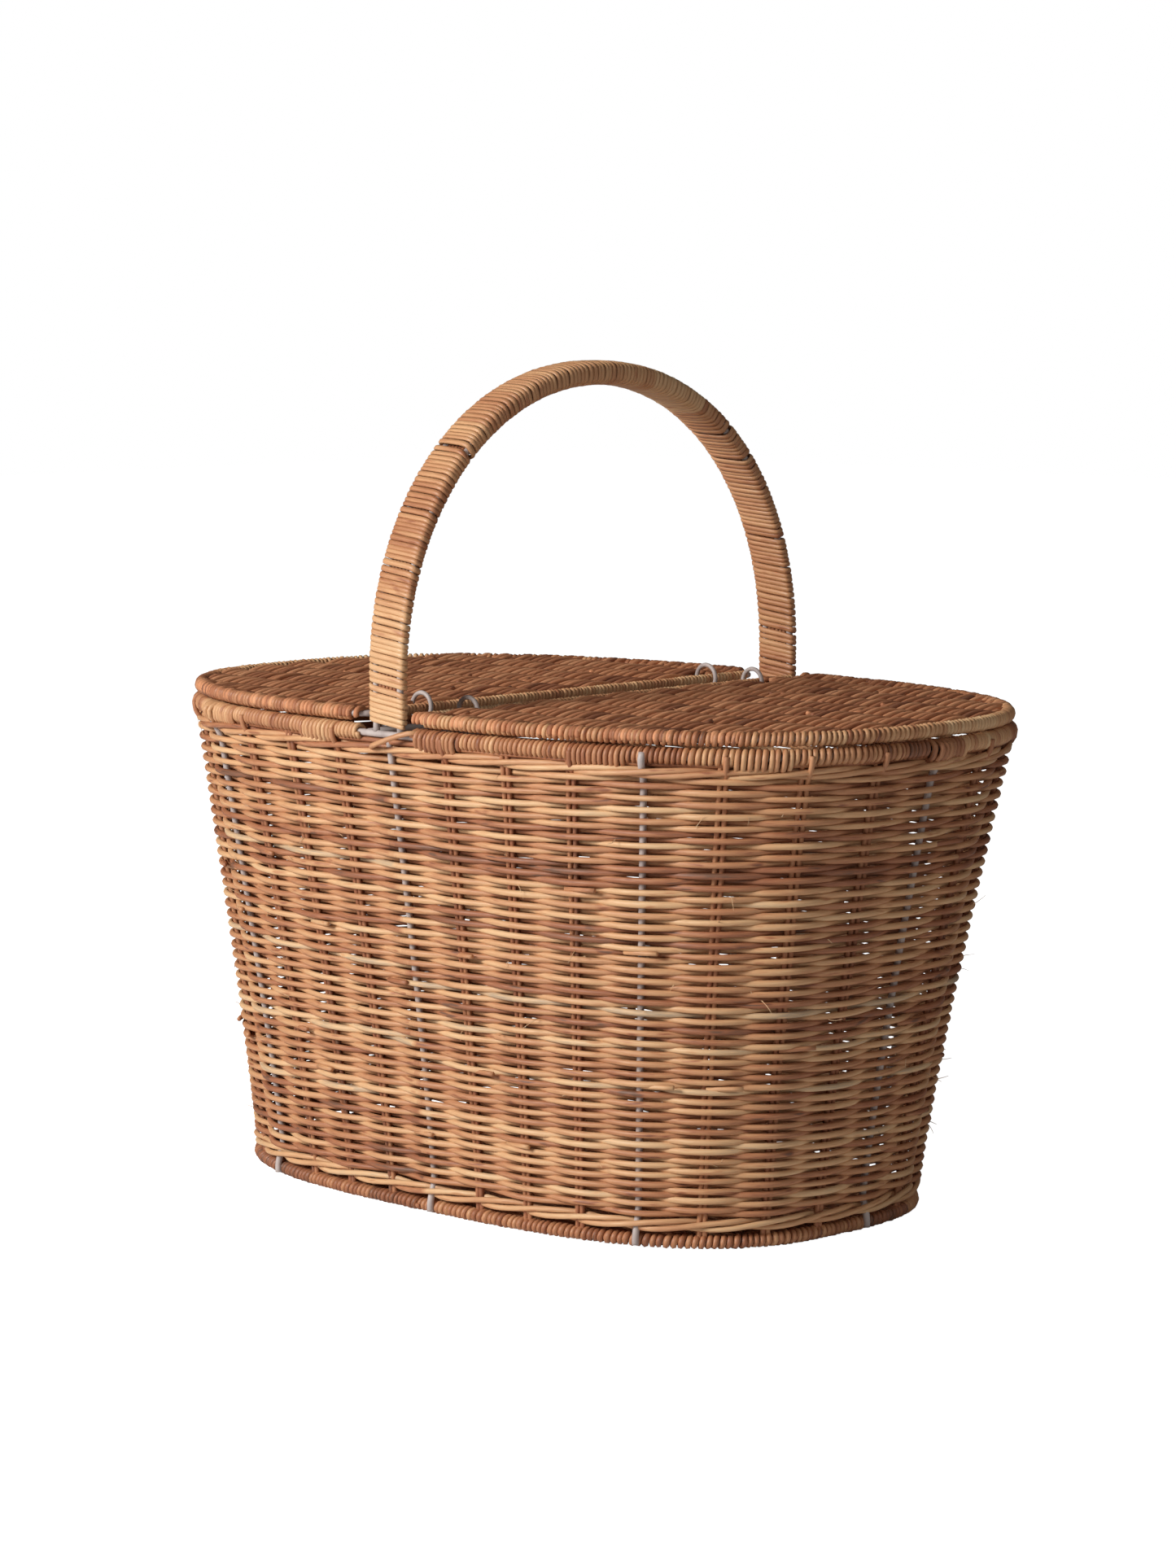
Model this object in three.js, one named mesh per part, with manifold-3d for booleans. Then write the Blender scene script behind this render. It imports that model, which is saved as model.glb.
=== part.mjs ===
// A picnic basket: rattan woven round a painted iron frame, with two lids that hinge at the middle.
// Millimetres, +Z up. X runs along the basket, Y across it, and the handle stands in the YZ plane.
// The origin is on the floor under the middle of the rim.
import * as THREE from 'three';
import { mergeVertices } from 'three/addons/utils/BufferGeometryUtils.js';
import Module from 'manifold-3d';

const manifold = await Module();
manifold.setup();

// ---- Driving dimensions -------------------------------------------------------------------------

// Iron rings, measured to the middle of the rod. Squareness 2 is an ellipse, and more is boxier.
const RIM_HALF_LENGTH = 230;
const RIM_HALF_WIDTH = 143;
const RIM_SQUARENESS = 2.6;
const BASE_HALF_LENGTH = 185;
const BASE_HALF_WIDTH = 111;
const BASE_SQUARENESS = 2.9;
const BASE_SHIFT_X = -5; // the handmade base sits a little off the rim's middle
const BASE_SHIFT_Y = -5;
const RIM_HEIGHT = 243; // floor to the middle of the rim rod
const WALL_FLARE = 1.2; // 1 is a straight wall, and more spreads it near the rim

// Rods and the cane wound round them, as radii.
const ROD_RADIUS = 2;
const RING_BINDING_RADIUS = 4.2;
const LID_ROD_RADIUS = 1.6;
const LID_BINDING_RADIUS = 3.4;
const LID_RIB_RADIUS = 1.4;
const EYELET_WIRE_RADIUS = 1.15;
const EYELET_RADIUS = 6.7; // to the middle of its wire

// Wall
const WALL_THICKNESS = 8;
const STAKE_COUNT = 32; // every fourth one is an iron upright
const STAKES_PER_UPRIGHT = 4;
const STAKE_WIDTH = 5.4; // two canes side by side
const STAKE_DEPTH = 2.7;
const STAKE_TWIST = 9.5; // how far each stake's foot runs on along the base ring
const UPRIGHT_JOG_HEIGHT = 16; // the rod's end bends out to pass outside the ring within this

// Base
const BASE_WEAVE_THICKNESS = 6.8;
const BASE_ROD_OFFSET = 60;

// Lids
const LID_LIFT = 9; // middle of the lid rod above the middle of the rim rod
const LID_CORNER_RADIUS = 9;
const LID_WEAVE_THICKNESS = 6;
const LID_RIB_SPACING = 84;
const LID_RIB_COUNT = 3;
const EYELET_OFFSET = 104.5; // along the hinge bar from the middle of the basket

// Handle
const HANDLE_WIDTH = 25;
const HANDLE_EDGE = 2; // cane outside each handle rod
const HANDLE_FOOT_THICKNESS = 6;
const HANDLE_TOP_THICKNESS = 13;
const HANDLE_STRAIGHT = 26.5; // rim rod to where the arch starts
const HANDLE_RISE = 147.75; // height of the arch itself
const HANDLE_SQUARENESS = 2.07;

// Clearances
const GAP = 0.3; // between pieces that touch on the real basket
const LID_TO_HANDLE_GAP = 0.7;
const EYELET_SIDE_GAP = 1;
const BINDING_JOINT = 1; // break where a binding starts and ends

// Fineness of the facets
const LOOP_STATIONS = 40;
const LID_STATIONS = 22;
const CORNER_STATIONS = 3;
const HANDLE_STATIONS = 21;
const WALL_STATIONS = 64;
const WALL_ROWS = 4;
const JOG_SECTIONS = 5;
const ROD_SIDES = 6;
const BINDING_SIDES = 8;

// ---- Places worked out from them ----------------------------------------------------------------

const TAU = 2 * Math.PI;
const BASE_HEIGHT = RING_BINDING_RADIUS * Math.cos(Math.PI / BINDING_SIDES); // stands on a flat facet
const LID_HEIGHT = RIM_HEIGHT + LID_LIFT;
const HINGE_X = HANDLE_WIDTH / 2 + LID_TO_HANDLE_GAP + LID_BINDING_RADIUS;
const HANDLE_ROD_X = HANDLE_WIDTH / 2 - HANDLE_EDGE - ROD_RADIUS;
const RIM_BARE_X = HINGE_X + ROD_RADIUS + 3 * GAP; // the rim's cane starts outside the crossbars
const UPRIGHT_OUT = 2 * ROD_RADIUS + GAP; // rod end beside the ring's own rod
const WALL_BOTTOM = BASE_HEIGHT + RING_BINDING_RADIUS + GAP;
const WALL_TOP = RIM_HEIGHT - RING_BINDING_RADIUS - GAP;

const IRON = { color: 0xcdbfb6, roughness: 0.5, metalness: 0.1 };
const CANE = { color: 0xb5804f, roughness: 0.65, metalness: 0 };
const DARK_CANE = { color: 0x8f5837, roughness: 0.65, metalness: 0 };

const basket = new THREE.Group();
const up = new THREE.Vector3(0, 0, 1);

function addPiece(name, geometry, finish) {
  const mesh = new THREE.Mesh(geometry, new THREE.MeshStandardMaterial(finish));
  mesh.name = name;
  basket.add(mesh);
}

// ---- Outlines -----------------------------------------------------------------------------------

/** A level superellipse that starts at the front (-Y) and runs anticlockwise seen from above. */
class Oval extends THREE.Curve {
  constructor(halfLength, halfWidth, squareness, centreX, centreY, height) {
    super();
    Object.assign(this, { halfLength, halfWidth, squareness, centreX, centreY, height });
    this.arcLengthDivisions = 720;
  }

  getPoint(t, target = new THREE.Vector3()) {
    const angle = TAU * t - Math.PI / 2;
    const x = Math.abs(Math.cos(angle) / this.halfLength) ** this.squareness;
    const y = Math.abs(Math.sin(angle) / this.halfWidth) ** this.squareness;
    const radius = (x + y) ** (-1 / this.squareness);
    const across = radius * Math.cos(angle);
    return target.set(this.centreX + across, this.centreY + radius * Math.sin(angle), this.height);
  }

  /** The point a share of the way round, with the level directions along the rod and outwards. */
  station(share) {
    const turn = share - Math.floor(share);
    const along = this.getTangentAt(turn);
    return { point: this.getPointAt(turn), along, out: new THREE.Vector3(along.y, -along.x, 0) };
  }

  halfWidthAt(x) {
    const share = 1 - Math.abs((x - this.centreX) / this.halfLength) ** this.squareness;
    return this.halfWidth * share ** (1 / this.squareness);
  }

  halfLengthAt(y) {
    const share = 1 - Math.abs((y - this.centreY) / this.halfWidth) ** this.squareness;
    return this.halfLength * share ** (1 / this.squareness);
  }
}

const ovals = new Map();

/** The wall's middle line at a height: the base ring's oval at the foot and the rim's at the top. */
function wallOval(height) {
  if (!ovals.has(height)) {
    const share = THREE.MathUtils.clamp((height - BASE_HEIGHT) / (RIM_HEIGHT - BASE_HEIGHT), 0, 1);
    const spread = share ** WALL_FLARE;
    const mix = (base, rim) => THREE.MathUtils.lerp(base, rim, spread);
    const oval = new Oval(
      mix(BASE_HALF_LENGTH, RIM_HALF_LENGTH),
      mix(BASE_HALF_WIDTH, RIM_HALF_WIDTH),
      mix(BASE_SQUARENESS, RIM_SQUARENESS),
      mix(BASE_SHIFT_X, 0),
      mix(BASE_SHIFT_Y, 0),
      height,
    );
    oval.twist = mix(STAKE_TWIST, 0) / oval.getLength();
    ovals.set(height, oval);
  }
  return ovals.get(height);
}

const rimOval = wallOval(RIM_HEIGHT);
const baseOval = wallOval(BASE_HEIGHT);

/** The rim is flat over the handle's feet, so a short way along it is as long as its X. */
const rimShareAt = (x) => x / rimOval.getLength();

// ---- Solids -------------------------------------------------------------------------------------

function closedSolid(geometry) {
  geometry.deleteAttribute('normal');
  geometry.deleteAttribute('uv');
  const solid = mergeVertices(geometry, 1e-4);
  if (signedVolume(solid) < 0) turnInsideOut(solid);
  return solid;
}

function signedVolume(solid) {
  const [a, b, c] = [new THREE.Vector3(), new THREE.Vector3(), new THREE.Vector3()];
  const { position } = solid.attributes;
  let volume = 0;
  for (let i = 0; i < solid.index.count; i += 3) {
    a.fromBufferAttribute(position, solid.index.getX(i));
    b.fromBufferAttribute(position, solid.index.getX(i + 1));
    c.fromBufferAttribute(position, solid.index.getX(i + 2));
    volume += a.dot(b.cross(c)) / 6;
  }
  return volume;
}

function turnInsideOut(solid) {
  for (let i = 0; i < solid.index.count; i += 3) {
    const first = solid.index.getX(i);
    solid.index.setX(i, solid.index.getX(i + 1));
    solid.index.setX(i + 1, first);
  }
}

/** A solid like a bent doughnut: place(station, corner) gives each point of its skin. */
function loopSolid(stations, corners, place) {
  const section = Array.from({ length: corners + 1 }, (_, corner) => {
    const angle = (TAU * corner) / corners;
    return new THREE.Vector2(2 + Math.cos(angle), Math.sin(angle));
  });
  const doughnut = new THREE.LatheGeometry(section, stations);
  const { position } = doughnut.attributes;
  for (let station = 0; station <= stations; station++) {
    for (let corner = 0; corner <= corners; corner++) {
      const point = place(station % stations, corner % corners);
      position.setXYZ(station * (corners + 1) + corner, point.x, point.y, point.z);
    }
  }
  return closedSolid(doughnut);
}

/** An outline pushed out by 1 in several steps, then laid along a line: place(x, y, share). */
function laidSolid(outline, steps, place) {
  const options = { depth: 1, steps, bevelEnabled: false, curveSegments: ROD_SIDES / 2 };
  const solid = new THREE.ExtrudeGeometry(outline, options);
  const { position } = solid.attributes;
  for (let i = 0; i < position.count; i++) {
    const point = place(position.getX(i), position.getY(i), position.getZ(i));
    position.setXYZ(i, point.x, point.y, point.z);
  }
  return closedSolid(solid);
}

const round = (radius) => new THREE.Shape().absarc(0, 0, radius, 0, TAU);

/** A point off a station: so far outwards and so far up. */
function offStation({ point, out }, outwards, upwards) {
  return point.clone().addScaledVector(out, outwards).addScaledVector(up, upwards);
}

/** A rod bent into a closed ring. */
function ringRod(stations, radius) {
  return loopSolid(stations.length, ROD_SIDES, (station, corner) => {
    const angle = (TAU * corner) / ROD_SIDES;
    return offStation(stations[station], radius * Math.cos(angle), radius * Math.sin(angle));
  });
}

/** An open-ended sleeve of wound cane along a run of stations. */
function sleeve(stations, outerRadius, innerRadius) {
  const count = stations.length;
  return loopSolid(BINDING_SIDES, 2 * count, (side, corner) => {
    const outside = corner < count;
    const radius = outside ? outerRadius : innerRadius;
    const angle = (TAU * (side + 0.5)) / BINDING_SIDES;
    const station = stations[outside ? corner : 2 * count - 1 - corner];
    return offStation(station, radius * Math.cos(angle), radius * Math.sin(angle));
  });
}

function straightRod(radius, from, to, sides = ROD_SIDES) {
  const length = from.distanceTo(to);
  const rod = new THREE.CylinderGeometry(radius, radius, length, sides);
  const along = to.clone().sub(from).normalize();
  rod.applyQuaternion(new THREE.Quaternion().setFromUnitVectors(new THREE.Vector3(0, 1, 0), along));
  const middle = from.clone().lerp(to, 0.5);
  return closedSolid(rod.translate(middle.x, middle.y, middle.z));
}

// ---- Cutting and joining ------------------------------------------------------------------------

function toManifold({ attributes, index }) {
  const vertProperties = new Float32Array(attributes.position.array);
  const triVerts = new Uint32Array(index.array);
  return new manifold.Manifold(new manifold.Mesh({ numProp: 3, vertProperties, triVerts }));
}

function fromManifold(solid) {
  const { vertProperties, triVerts } = solid.getMesh();
  const geometry = new THREE.BufferGeometry();
  geometry.setAttribute('position', new THREE.BufferAttribute(vertProperties, 3));
  geometry.setIndex(new THREE.BufferAttribute(triVerts, 1));
  return geometry;
}

function cut(body, tools) {
  const cutAway = (rest, tool) => rest.subtract(toManifold(tool));
  return fromManifold(tools.reduce(cutAway, toManifold(body)));
}

function weld(body, others) {
  const addOn = (whole, other) => whole.add(toManifold(other));
  return fromManifold(others.reduce(addOn, toManifold(body)));
}

// ---- Stakes and uprights ------------------------------------------------------------------------

/** Where a stake stands at a height, with its foot run on round the base. */
function stakeStation(number, height) {
  const oval = wallOval(height);
  return oval.station(number / STAKE_COUNT + oval.twist);
}

/** A bar that follows one stake's line up the wall, with a section at each height. */
function wallBar(outline, number, heights, outAt = () => 0) {
  const steps = heights.length - 1;
  return laidSolid(outline, steps, (x, y, share) => {
    const height = heights[Math.round(share * steps)];
    const station = stakeStation(number, height);
    return offStation(station, y + outAt(height), 0).addScaledVector(station.along, x);
  });
}

const evenly = (from, to, count) =>
  Array.from({ length: count }, (_, i) => THREE.MathUtils.lerp(from, to, i / (count - 1)));

const wallHeights = evenly(WALL_BOTTOM, WALL_TOP, WALL_ROWS);

/** The same heights, reaching past both ends so that a cutter comes out clear. */
const reachingPast = (heights, past) => [heights[0] - past, ...heights, heights.at(-1) + past];

/** Two canes side by side, as a flat hexagon. */
function stakeOutline(clearance) {
  const halfWidth = STAKE_WIDTH / 2 + clearance;
  const halfDepth = STAKE_DEPTH / 2 + clearance;
  const shoulder = halfWidth - halfDepth / 2;
  return new THREE.Shape([
    new THREE.Vector2(-halfWidth, 0),
    new THREE.Vector2(-shoulder, -halfDepth),
    new THREE.Vector2(shoulder, -halfDepth),
    new THREE.Vector2(halfWidth, 0),
    new THREE.Vector2(shoulder, halfDepth),
    new THREE.Vector2(-shoulder, halfDepth),
  ]);
}

/** An upright bends outwards near each end, to lie against the outside of the ring's rod. */
function uprightOut(height) {
  const fromEnd = Math.min(height - BASE_HEIGHT, RIM_HEIGHT - height);
  return UPRIGHT_OUT * (1 - THREE.MathUtils.smoothstep(fromEnd, 0, UPRIGHT_JOG_HEIGHT));
}

const uprightHeights = [
  ROD_RADIUS / 2,
  ...evenly(BASE_HEIGHT, BASE_HEIGHT + UPRIGHT_JOG_HEIGHT, JOG_SECTIONS),
  ...wallHeights.slice(1, -1),
  ...evenly(RIM_HEIGHT - UPRIGHT_JOG_HEIGHT, RIM_HEIGHT, JOG_SECTIONS),
  RIM_HEIGHT + ROD_RADIUS,
];

function upright(number, clearance, heights) {
  return wallBar(round(ROD_RADIUS + clearance), number, heights, uprightOut);
}

const stakeNumbers = Array.from({ length: STAKE_COUNT }, (_, number) => number);
const uprightNumbers = stakeNumbers.filter((number) => number % STAKES_PER_UPRIGHT === 0);
const caneNumbers = stakeNumbers.filter((number) => number % STAKES_PER_UPRIGHT !== 0);
const uprightHoles = uprightNumbers.map((number) =>
  upright(number, GAP, reachingPast(uprightHeights, 2 * RING_BINDING_RADIUS)));

function addUprights() {
  for (const number of uprightNumbers) {
    addPiece(`upright_${number}`, upright(number, 0, uprightHeights), IRON);
  }
}

function addCaneStakes() {
  for (const number of caneNumbers) {
    addPiece(`cane_stake_${number}`, wallBar(stakeOutline(0), number, wallHeights), CANE);
  }
}

// ---- Wall and base ------------------------------------------------------------------------------

function addWallWeave() {
  const shell = loopSolid(WALL_STATIONS, 2 * WALL_ROWS, (station, corner) => {
    const outside = corner < WALL_ROWS;
    const row = outside ? corner : 2 * WALL_ROWS - 1 - corner;
    const place = wallOval(wallHeights[row]).station(station / WALL_STATIONS);
    return offStation(place, outside ? WALL_THICKNESS / 2 : -WALL_THICKNESS / 2, 0);
  });
  const caneHoles = caneNumbers.map((number) =>
    wallBar(stakeOutline(GAP), number, reachingPast(wallHeights, WALL_THICKNESS)));
  addPiece('wall_weave', cut(shell, [...caneHoles, ...uprightHoles]), CANE);
}

/** Stations from one share to another, both ends included. */
function runStations(oval, count, from, to) {
  return Array.from({ length: count }, (_, i) => oval.station(from + (i / (count - 1)) * (to - from)));
}

function baseRod(offset, radius) {
  const x = BASE_SHIFT_X + offset;
  const reach = baseOval.halfWidthAt(x) - ROD_RADIUS - GAP;
  return straightRod(
    radius,
    new THREE.Vector3(x, BASE_SHIFT_Y - reach, BASE_HEIGHT),
    new THREE.Vector3(x, BASE_SHIFT_Y + reach, BASE_HEIGHT),
  );
}

function addBase() {
  const holes = [-BASE_ROD_OFFSET, BASE_ROD_OFFSET].map((offset) => baseRod(offset, ROD_RADIUS + GAP));
  const start = 0.5 + 0.5 / STAKE_COUNT;
  const end = start + 1 - BINDING_JOINT / baseOval.getLength();
  const stations = runStations(baseOval, LOOP_STATIONS, start, end);
  addPiece('base_ring', ringRod(stations, ROD_RADIUS), IRON);
  addPiece('base_rod_left', baseRod(-BASE_ROD_OFFSET, ROD_RADIUS), IRON);
  addPiece('base_rod_right', baseRod(BASE_ROD_OFFSET, ROD_RADIUS), IRON);

  const binding = sleeve(stations, RING_BINDING_RADIUS, ROD_RADIUS + GAP);
  addPiece('base_binding', cut(binding, [...uprightHoles, ...holes]), DARK_CANE);

  const inset = RING_BINDING_RADIUS + GAP;
  const outline = stations.map((station) => offStation(station, -inset, 0));
  const plate = new THREE.ExtrudeGeometry(
    new THREE.Shape(outline), { depth: BASE_WEAVE_THICKNESS, bevelEnabled: false });
  plate.translate(0, 0, BASE_HEIGHT - BASE_WEAVE_THICKNESS / 2);
  addPiece('base_weave', cut(closedSolid(plate), holes), DARK_CANE);
}

// ---- Rim ----------------------------------------------------------------------------------------

function addRim() {
  const bare = rimShareAt(RIM_BARE_X);
  const run = (start) => runStations(rimOval, LOOP_STATIONS / 2, start + bare, start + 0.5 - bare);
  addPiece('rim_ring', ringRod([...run(0), ...run(0.5)], ROD_RADIUS), IRON);
  for (const [name, start] of [['rim_binding_right', 0], ['rim_binding_left', 0.5]]) {
    const binding = sleeve(run(start), RING_BINDING_RADIUS, ROD_RADIUS + GAP);
    addPiece(name, cut(binding, uprightHoles), DARK_CANE);
  }
}

function addCrossbar(side, name) {
  const x = side * HINGE_X;
  const reach = rimOval.halfWidthAt(x) - ROD_RADIUS - GAP;
  const from = new THREE.Vector3(x, -reach, RIM_HEIGHT);
  addPiece(`crossbar_${name}`, straightRod(ROD_RADIUS, from, new THREE.Vector3(x, reach, RIM_HEIGHT)), IRON);
}

/** Wire rings welded on the crossbar, with the lid's bar turning inside them. */
const EYELET_HEIGHT = RIM_HEIGHT + ROD_RADIUS + GAP + EYELET_WIRE_RADIUS + EYELET_RADIUS;

function addEyelets(side, name) {
  for (const [end, y] of [['front', -EYELET_OFFSET], ['back', EYELET_OFFSET]]) {
    const ring = new THREE.TorusGeometry(EYELET_RADIUS, EYELET_WIRE_RADIUS, ROD_SIDES, 18);
    ring.rotateX(Math.PI / 2).translate(side * HINGE_X, y, EYELET_HEIGHT);
    addPiece(`eyelet_${name}_${end}`, closedSolid(ring), IRON);
  }
}

// ---- Handle -------------------------------------------------------------------------------------

const HANDLE_HALF_SPAN = rimOval.halfWidthAt(HANDLE_ROD_X);

/** The handle's middle line in the YZ plane, from the front foot to the back one. */
function handleLine(footHeight) {
  const arch = Array.from({ length: HANDLE_STATIONS }, (_, i) => {
    const angle = (Math.PI * i) / (HANDLE_STATIONS - 1);
    const power = 2 / HANDLE_SQUARENESS;
    const y = -HANDLE_HALF_SPAN * Math.sign(Math.cos(angle)) * Math.abs(Math.cos(angle)) ** power;
    const z = RIM_HEIGHT + HANDLE_STRAIGHT + HANDLE_RISE * Math.abs(Math.sin(angle)) ** power;
    return new THREE.Vector3(0, y, z);
  });
  const foot = (y) => new THREE.Vector3(0, y, footHeight);
  return new THREE.CatmullRomCurve3([foot(-HANDLE_HALF_SPAN), ...arch, foot(HANDLE_HALF_SPAN)]);
}

function addHandleRod(side, name) {
  const line = handleLine(RIM_HEIGHT + ROD_RADIUS + GAP);
  const options = { extrudePath: line, steps: HANDLE_STATIONS + 2, curveSegments: ROD_SIDES / 2 };
  const rod = new THREE.ExtrudeGeometry(round(ROD_RADIUS), options);
  addPiece(`handle_rod_${name}`, closedSolid(rod.translate(side * HANDLE_ROD_X, 0, 0)), IRON);
}

/** The eight corners of a flat bar with its edges taken off. */
function flatBarCorners(halfWidth, halfThickness) {
  const edge = halfThickness / 2;
  const [x, y] = [halfWidth, halfThickness];
  return [[x, y - edge], [x - edge, y], [edge - x, y], [-x, y - edge],
    [-x, edge - y], [edge - x, -y], [x - edge, -y], [x, edge - y]];
}

function addHandleBinding() {
  const line = handleLine(RIM_HEIGHT + ROD_RADIUS + 5 * GAP);
  const count = HANDLE_STATIONS + 2;
  const slot = flatBarCorners(HANDLE_ROD_X + ROD_RADIUS + GAP, ROD_RADIUS + GAP);
  const sleeveSolid = loopSolid(slot.length, 2 * count, (side, corner) => {
    const outside = corner < count;
    const share = (outside ? corner : 2 * count - 1 - corner) / (count - 1);
    const point = line.getPointAt(share);
    const along = line.getTangentAt(share);
    const swell = Math.sin(Math.PI * share) ** 2;
    const thickness = THREE.MathUtils.lerp(HANDLE_FOOT_THICKNESS, HANDLE_TOP_THICKNESS, swell);
    const [x, outwards] = outside ? flatBarCorners(HANDLE_WIDTH / 2, thickness / 2)[side] : slot[side];
    return new THREE.Vector3(x, point.y - along.z * outwards, point.z + along.y * outwards);
  });
  addPiece('handle_binding', sleeveSolid, CANE);
}

// ---- Lids ---------------------------------------------------------------------------------------

/** The right lid's outline from the middle of its hinge bar, round the rim, and back to it. */
function lidPoints() {
  const cornerEnd = rimShareAt(HINGE_X + LID_CORNER_RADIUS);
  const edge = runStations(rimOval, LID_STATIONS, cornerEnd, 0.5 - cornerEnd).map(({ point }) => point);
  const cornerPoints = (sign) => {
    const start = new THREE.Vector2(HINGE_X, sign * (Math.abs(edge[0].y) - LID_CORNER_RADIUS));
    const corner = new THREE.Vector2(HINGE_X, edge[0].y * -sign);
    const bend = new THREE.QuadraticBezierCurve(start, corner, new THREE.Vector2(edge[0].x, corner.y));
    return bend.getPoints(CORNER_STATIONS).slice(0, -1);
  };
  const flat = [...cornerPoints(-1), ...edge, ...cornerPoints(1).reverse()];
  return flat.map(({ x, y }) => new THREE.Vector3(x, y, LID_HEIGHT));
}

/** Each point with the level direction that points out of the outline there. */
function pointStations(points, ends) {
  return points.map((point, i) => {
    const before = points[i - 1] ?? ends.first;
    const after = points[i + 1] ?? ends.last;
    const backwards = point.clone().sub(before).normalize();
    const along = after.clone().sub(point).normalize().add(backwards).normalize();
    return { point, along, out: new THREE.Vector3(along.y, -along.x, 0) };
  });
}

function lidStations() {
  const points = lidPoints();
  return pointStations(points, { first: points.at(-1), last: points[0] });
}

function lidRib(number, radius) {
  const y = (number - (LID_RIB_COUNT - 1) / 2) * LID_RIB_SPACING;
  const from = new THREE.Vector3(HINGE_X, y, LID_HEIGHT);
  return straightRod(radius, from, new THREE.Vector3(rimOval.halfLengthAt(y) - GAP, y, LID_HEIGHT));
}

function lidFrame() {
  const ribs = ribNumbers.map((number) => lidRib(number, LID_RIB_RADIUS));
  return weld(ringRod(lidStations(), LID_ROD_RADIUS), ribs);
}

/** Cane wound round the lid's rod, from the middle of the hinge bar right round to it. */
function lidBinding() {
  const joint = new THREE.Vector3(HINGE_X, BINDING_JOINT / 2, LID_HEIGHT);
  const start = joint.clone().setY(-joint.y);
  const points = [start, ...lidPoints(), joint];
  const stations = pointStations(points, { first: joint, last: start });
  const ribs = ribNumbers.map((number) => lidRib(number, LID_RIB_RADIUS + GAP));
  return cut(sleeve(stations, LID_BINDING_RADIUS, LID_ROD_RADIUS + GAP), ribs);
}

/** The slot that lets an eyelet through the weave while the lid swings round it. */
function eyeletSlot(y, barEdge) {
  const reach = EYELET_RADIUS + EYELET_WIRE_RADIUS + (EYELET_HEIGHT - LID_HEIGHT) + EYELET_SIDE_GAP;
  const half = EYELET_WIRE_RADIUS + EYELET_SIDE_GAP;
  const end = HINGE_X + reach;
  return [[barEdge, y + half], [end, y + half], [end, y - half], [barEdge, y - half]];
}

function lidWeave() {
  const inset = LID_BINDING_RADIUS + GAP;
  const outline = lidStations().map((station) => offStation(station, -inset, 0));
  const slots = [EYELET_OFFSET, -EYELET_OFFSET].flatMap((y) => eyeletSlot(y, HINGE_X + inset));
  const points = [...outline, ...slots.map(([x, y]) => new THREE.Vector2(x, y))];
  const plate = new THREE.ExtrudeGeometry(
    new THREE.Shape(points), { depth: LID_WEAVE_THICKNESS, bevelEnabled: false });
  plate.translate(0, 0, LID_HEIGHT - LID_WEAVE_THICKNESS / 2);
  const ribs = ribNumbers.map((number) => lidRib(number, LID_RIB_RADIUS + GAP));
  return cut(closedSolid(plate), ribs);
}

function mirrored(solid) {
  const copy = solid.clone().scale(-1, 1, 1);
  turnInsideOut(copy);
  return copy;
}

const ribNumbers = Array.from({ length: LID_RIB_COUNT }, (_, number) => number);

function addLids() {
  const pieces = [['frame', lidFrame(), IRON], ['binding', lidBinding(), DARK_CANE],
    ['weave', lidWeave(), DARK_CANE]];
  for (const [piece, solid, finish] of pieces) {
    addPiece(`right_lid_${piece}`, solid, finish);
    addPiece(`left_lid_${piece}`, mirrored(solid), finish);
  }
}

// ---- The basket ---------------------------------------------------------------------------------

addBase();
addUprights();
addCaneStakes();
addWallWeave();
addRim();
for (const [side, name] of [[-1, 'left'], [1, 'right']]) {
  addCrossbar(side, name);
  addEyelets(side, name);
  addHandleRod(side, name);
}
addHandleBinding();
addLids();

export default basket;
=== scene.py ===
# %% [markdown]
# # A picnic basket of cane woven round an iron frame
#
# The real basket is made in the order of this file: a smith bends and paints the rods, a weaver
# sets upright stakes between them, weaves the wall, the base and the two lids, and last winds thin
# cane round every rod that a hand can touch.
#
# The frame comes first because everything else is placed from it.

# %% Load the frame
import math

import bmesh
import bpy
import numpy as np
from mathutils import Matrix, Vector


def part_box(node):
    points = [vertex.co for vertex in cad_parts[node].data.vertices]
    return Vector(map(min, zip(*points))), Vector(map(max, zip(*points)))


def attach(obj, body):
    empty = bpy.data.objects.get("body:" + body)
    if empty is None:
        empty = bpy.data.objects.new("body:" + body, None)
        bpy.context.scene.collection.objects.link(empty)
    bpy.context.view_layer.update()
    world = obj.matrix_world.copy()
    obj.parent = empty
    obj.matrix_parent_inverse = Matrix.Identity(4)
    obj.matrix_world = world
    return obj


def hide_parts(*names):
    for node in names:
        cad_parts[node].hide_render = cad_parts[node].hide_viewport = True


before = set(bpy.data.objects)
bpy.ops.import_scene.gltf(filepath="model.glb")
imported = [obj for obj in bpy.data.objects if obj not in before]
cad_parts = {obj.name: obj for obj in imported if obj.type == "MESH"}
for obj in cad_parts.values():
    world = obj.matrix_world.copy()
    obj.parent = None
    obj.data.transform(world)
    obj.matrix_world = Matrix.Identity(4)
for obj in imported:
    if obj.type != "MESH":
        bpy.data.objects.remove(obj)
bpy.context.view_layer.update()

MM = 0.001
TAU = 2 * math.pi
UP = np.array([0.0, 0.0, 1.0])
ACROSS = np.array([1.0, 0.0, 0.0])

print("nodes in the frame:", len(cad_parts))

# %% [markdown]
# ## Camera
#
# A long lens from a little above the rim shows the basket almost without perspective, as in a shop's
# catalogue. The camera could be placed by hand, but three angles and a distance say it better: it
# stands on a circle round the basket, looks at one point inside it, and keeps upright.

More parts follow.
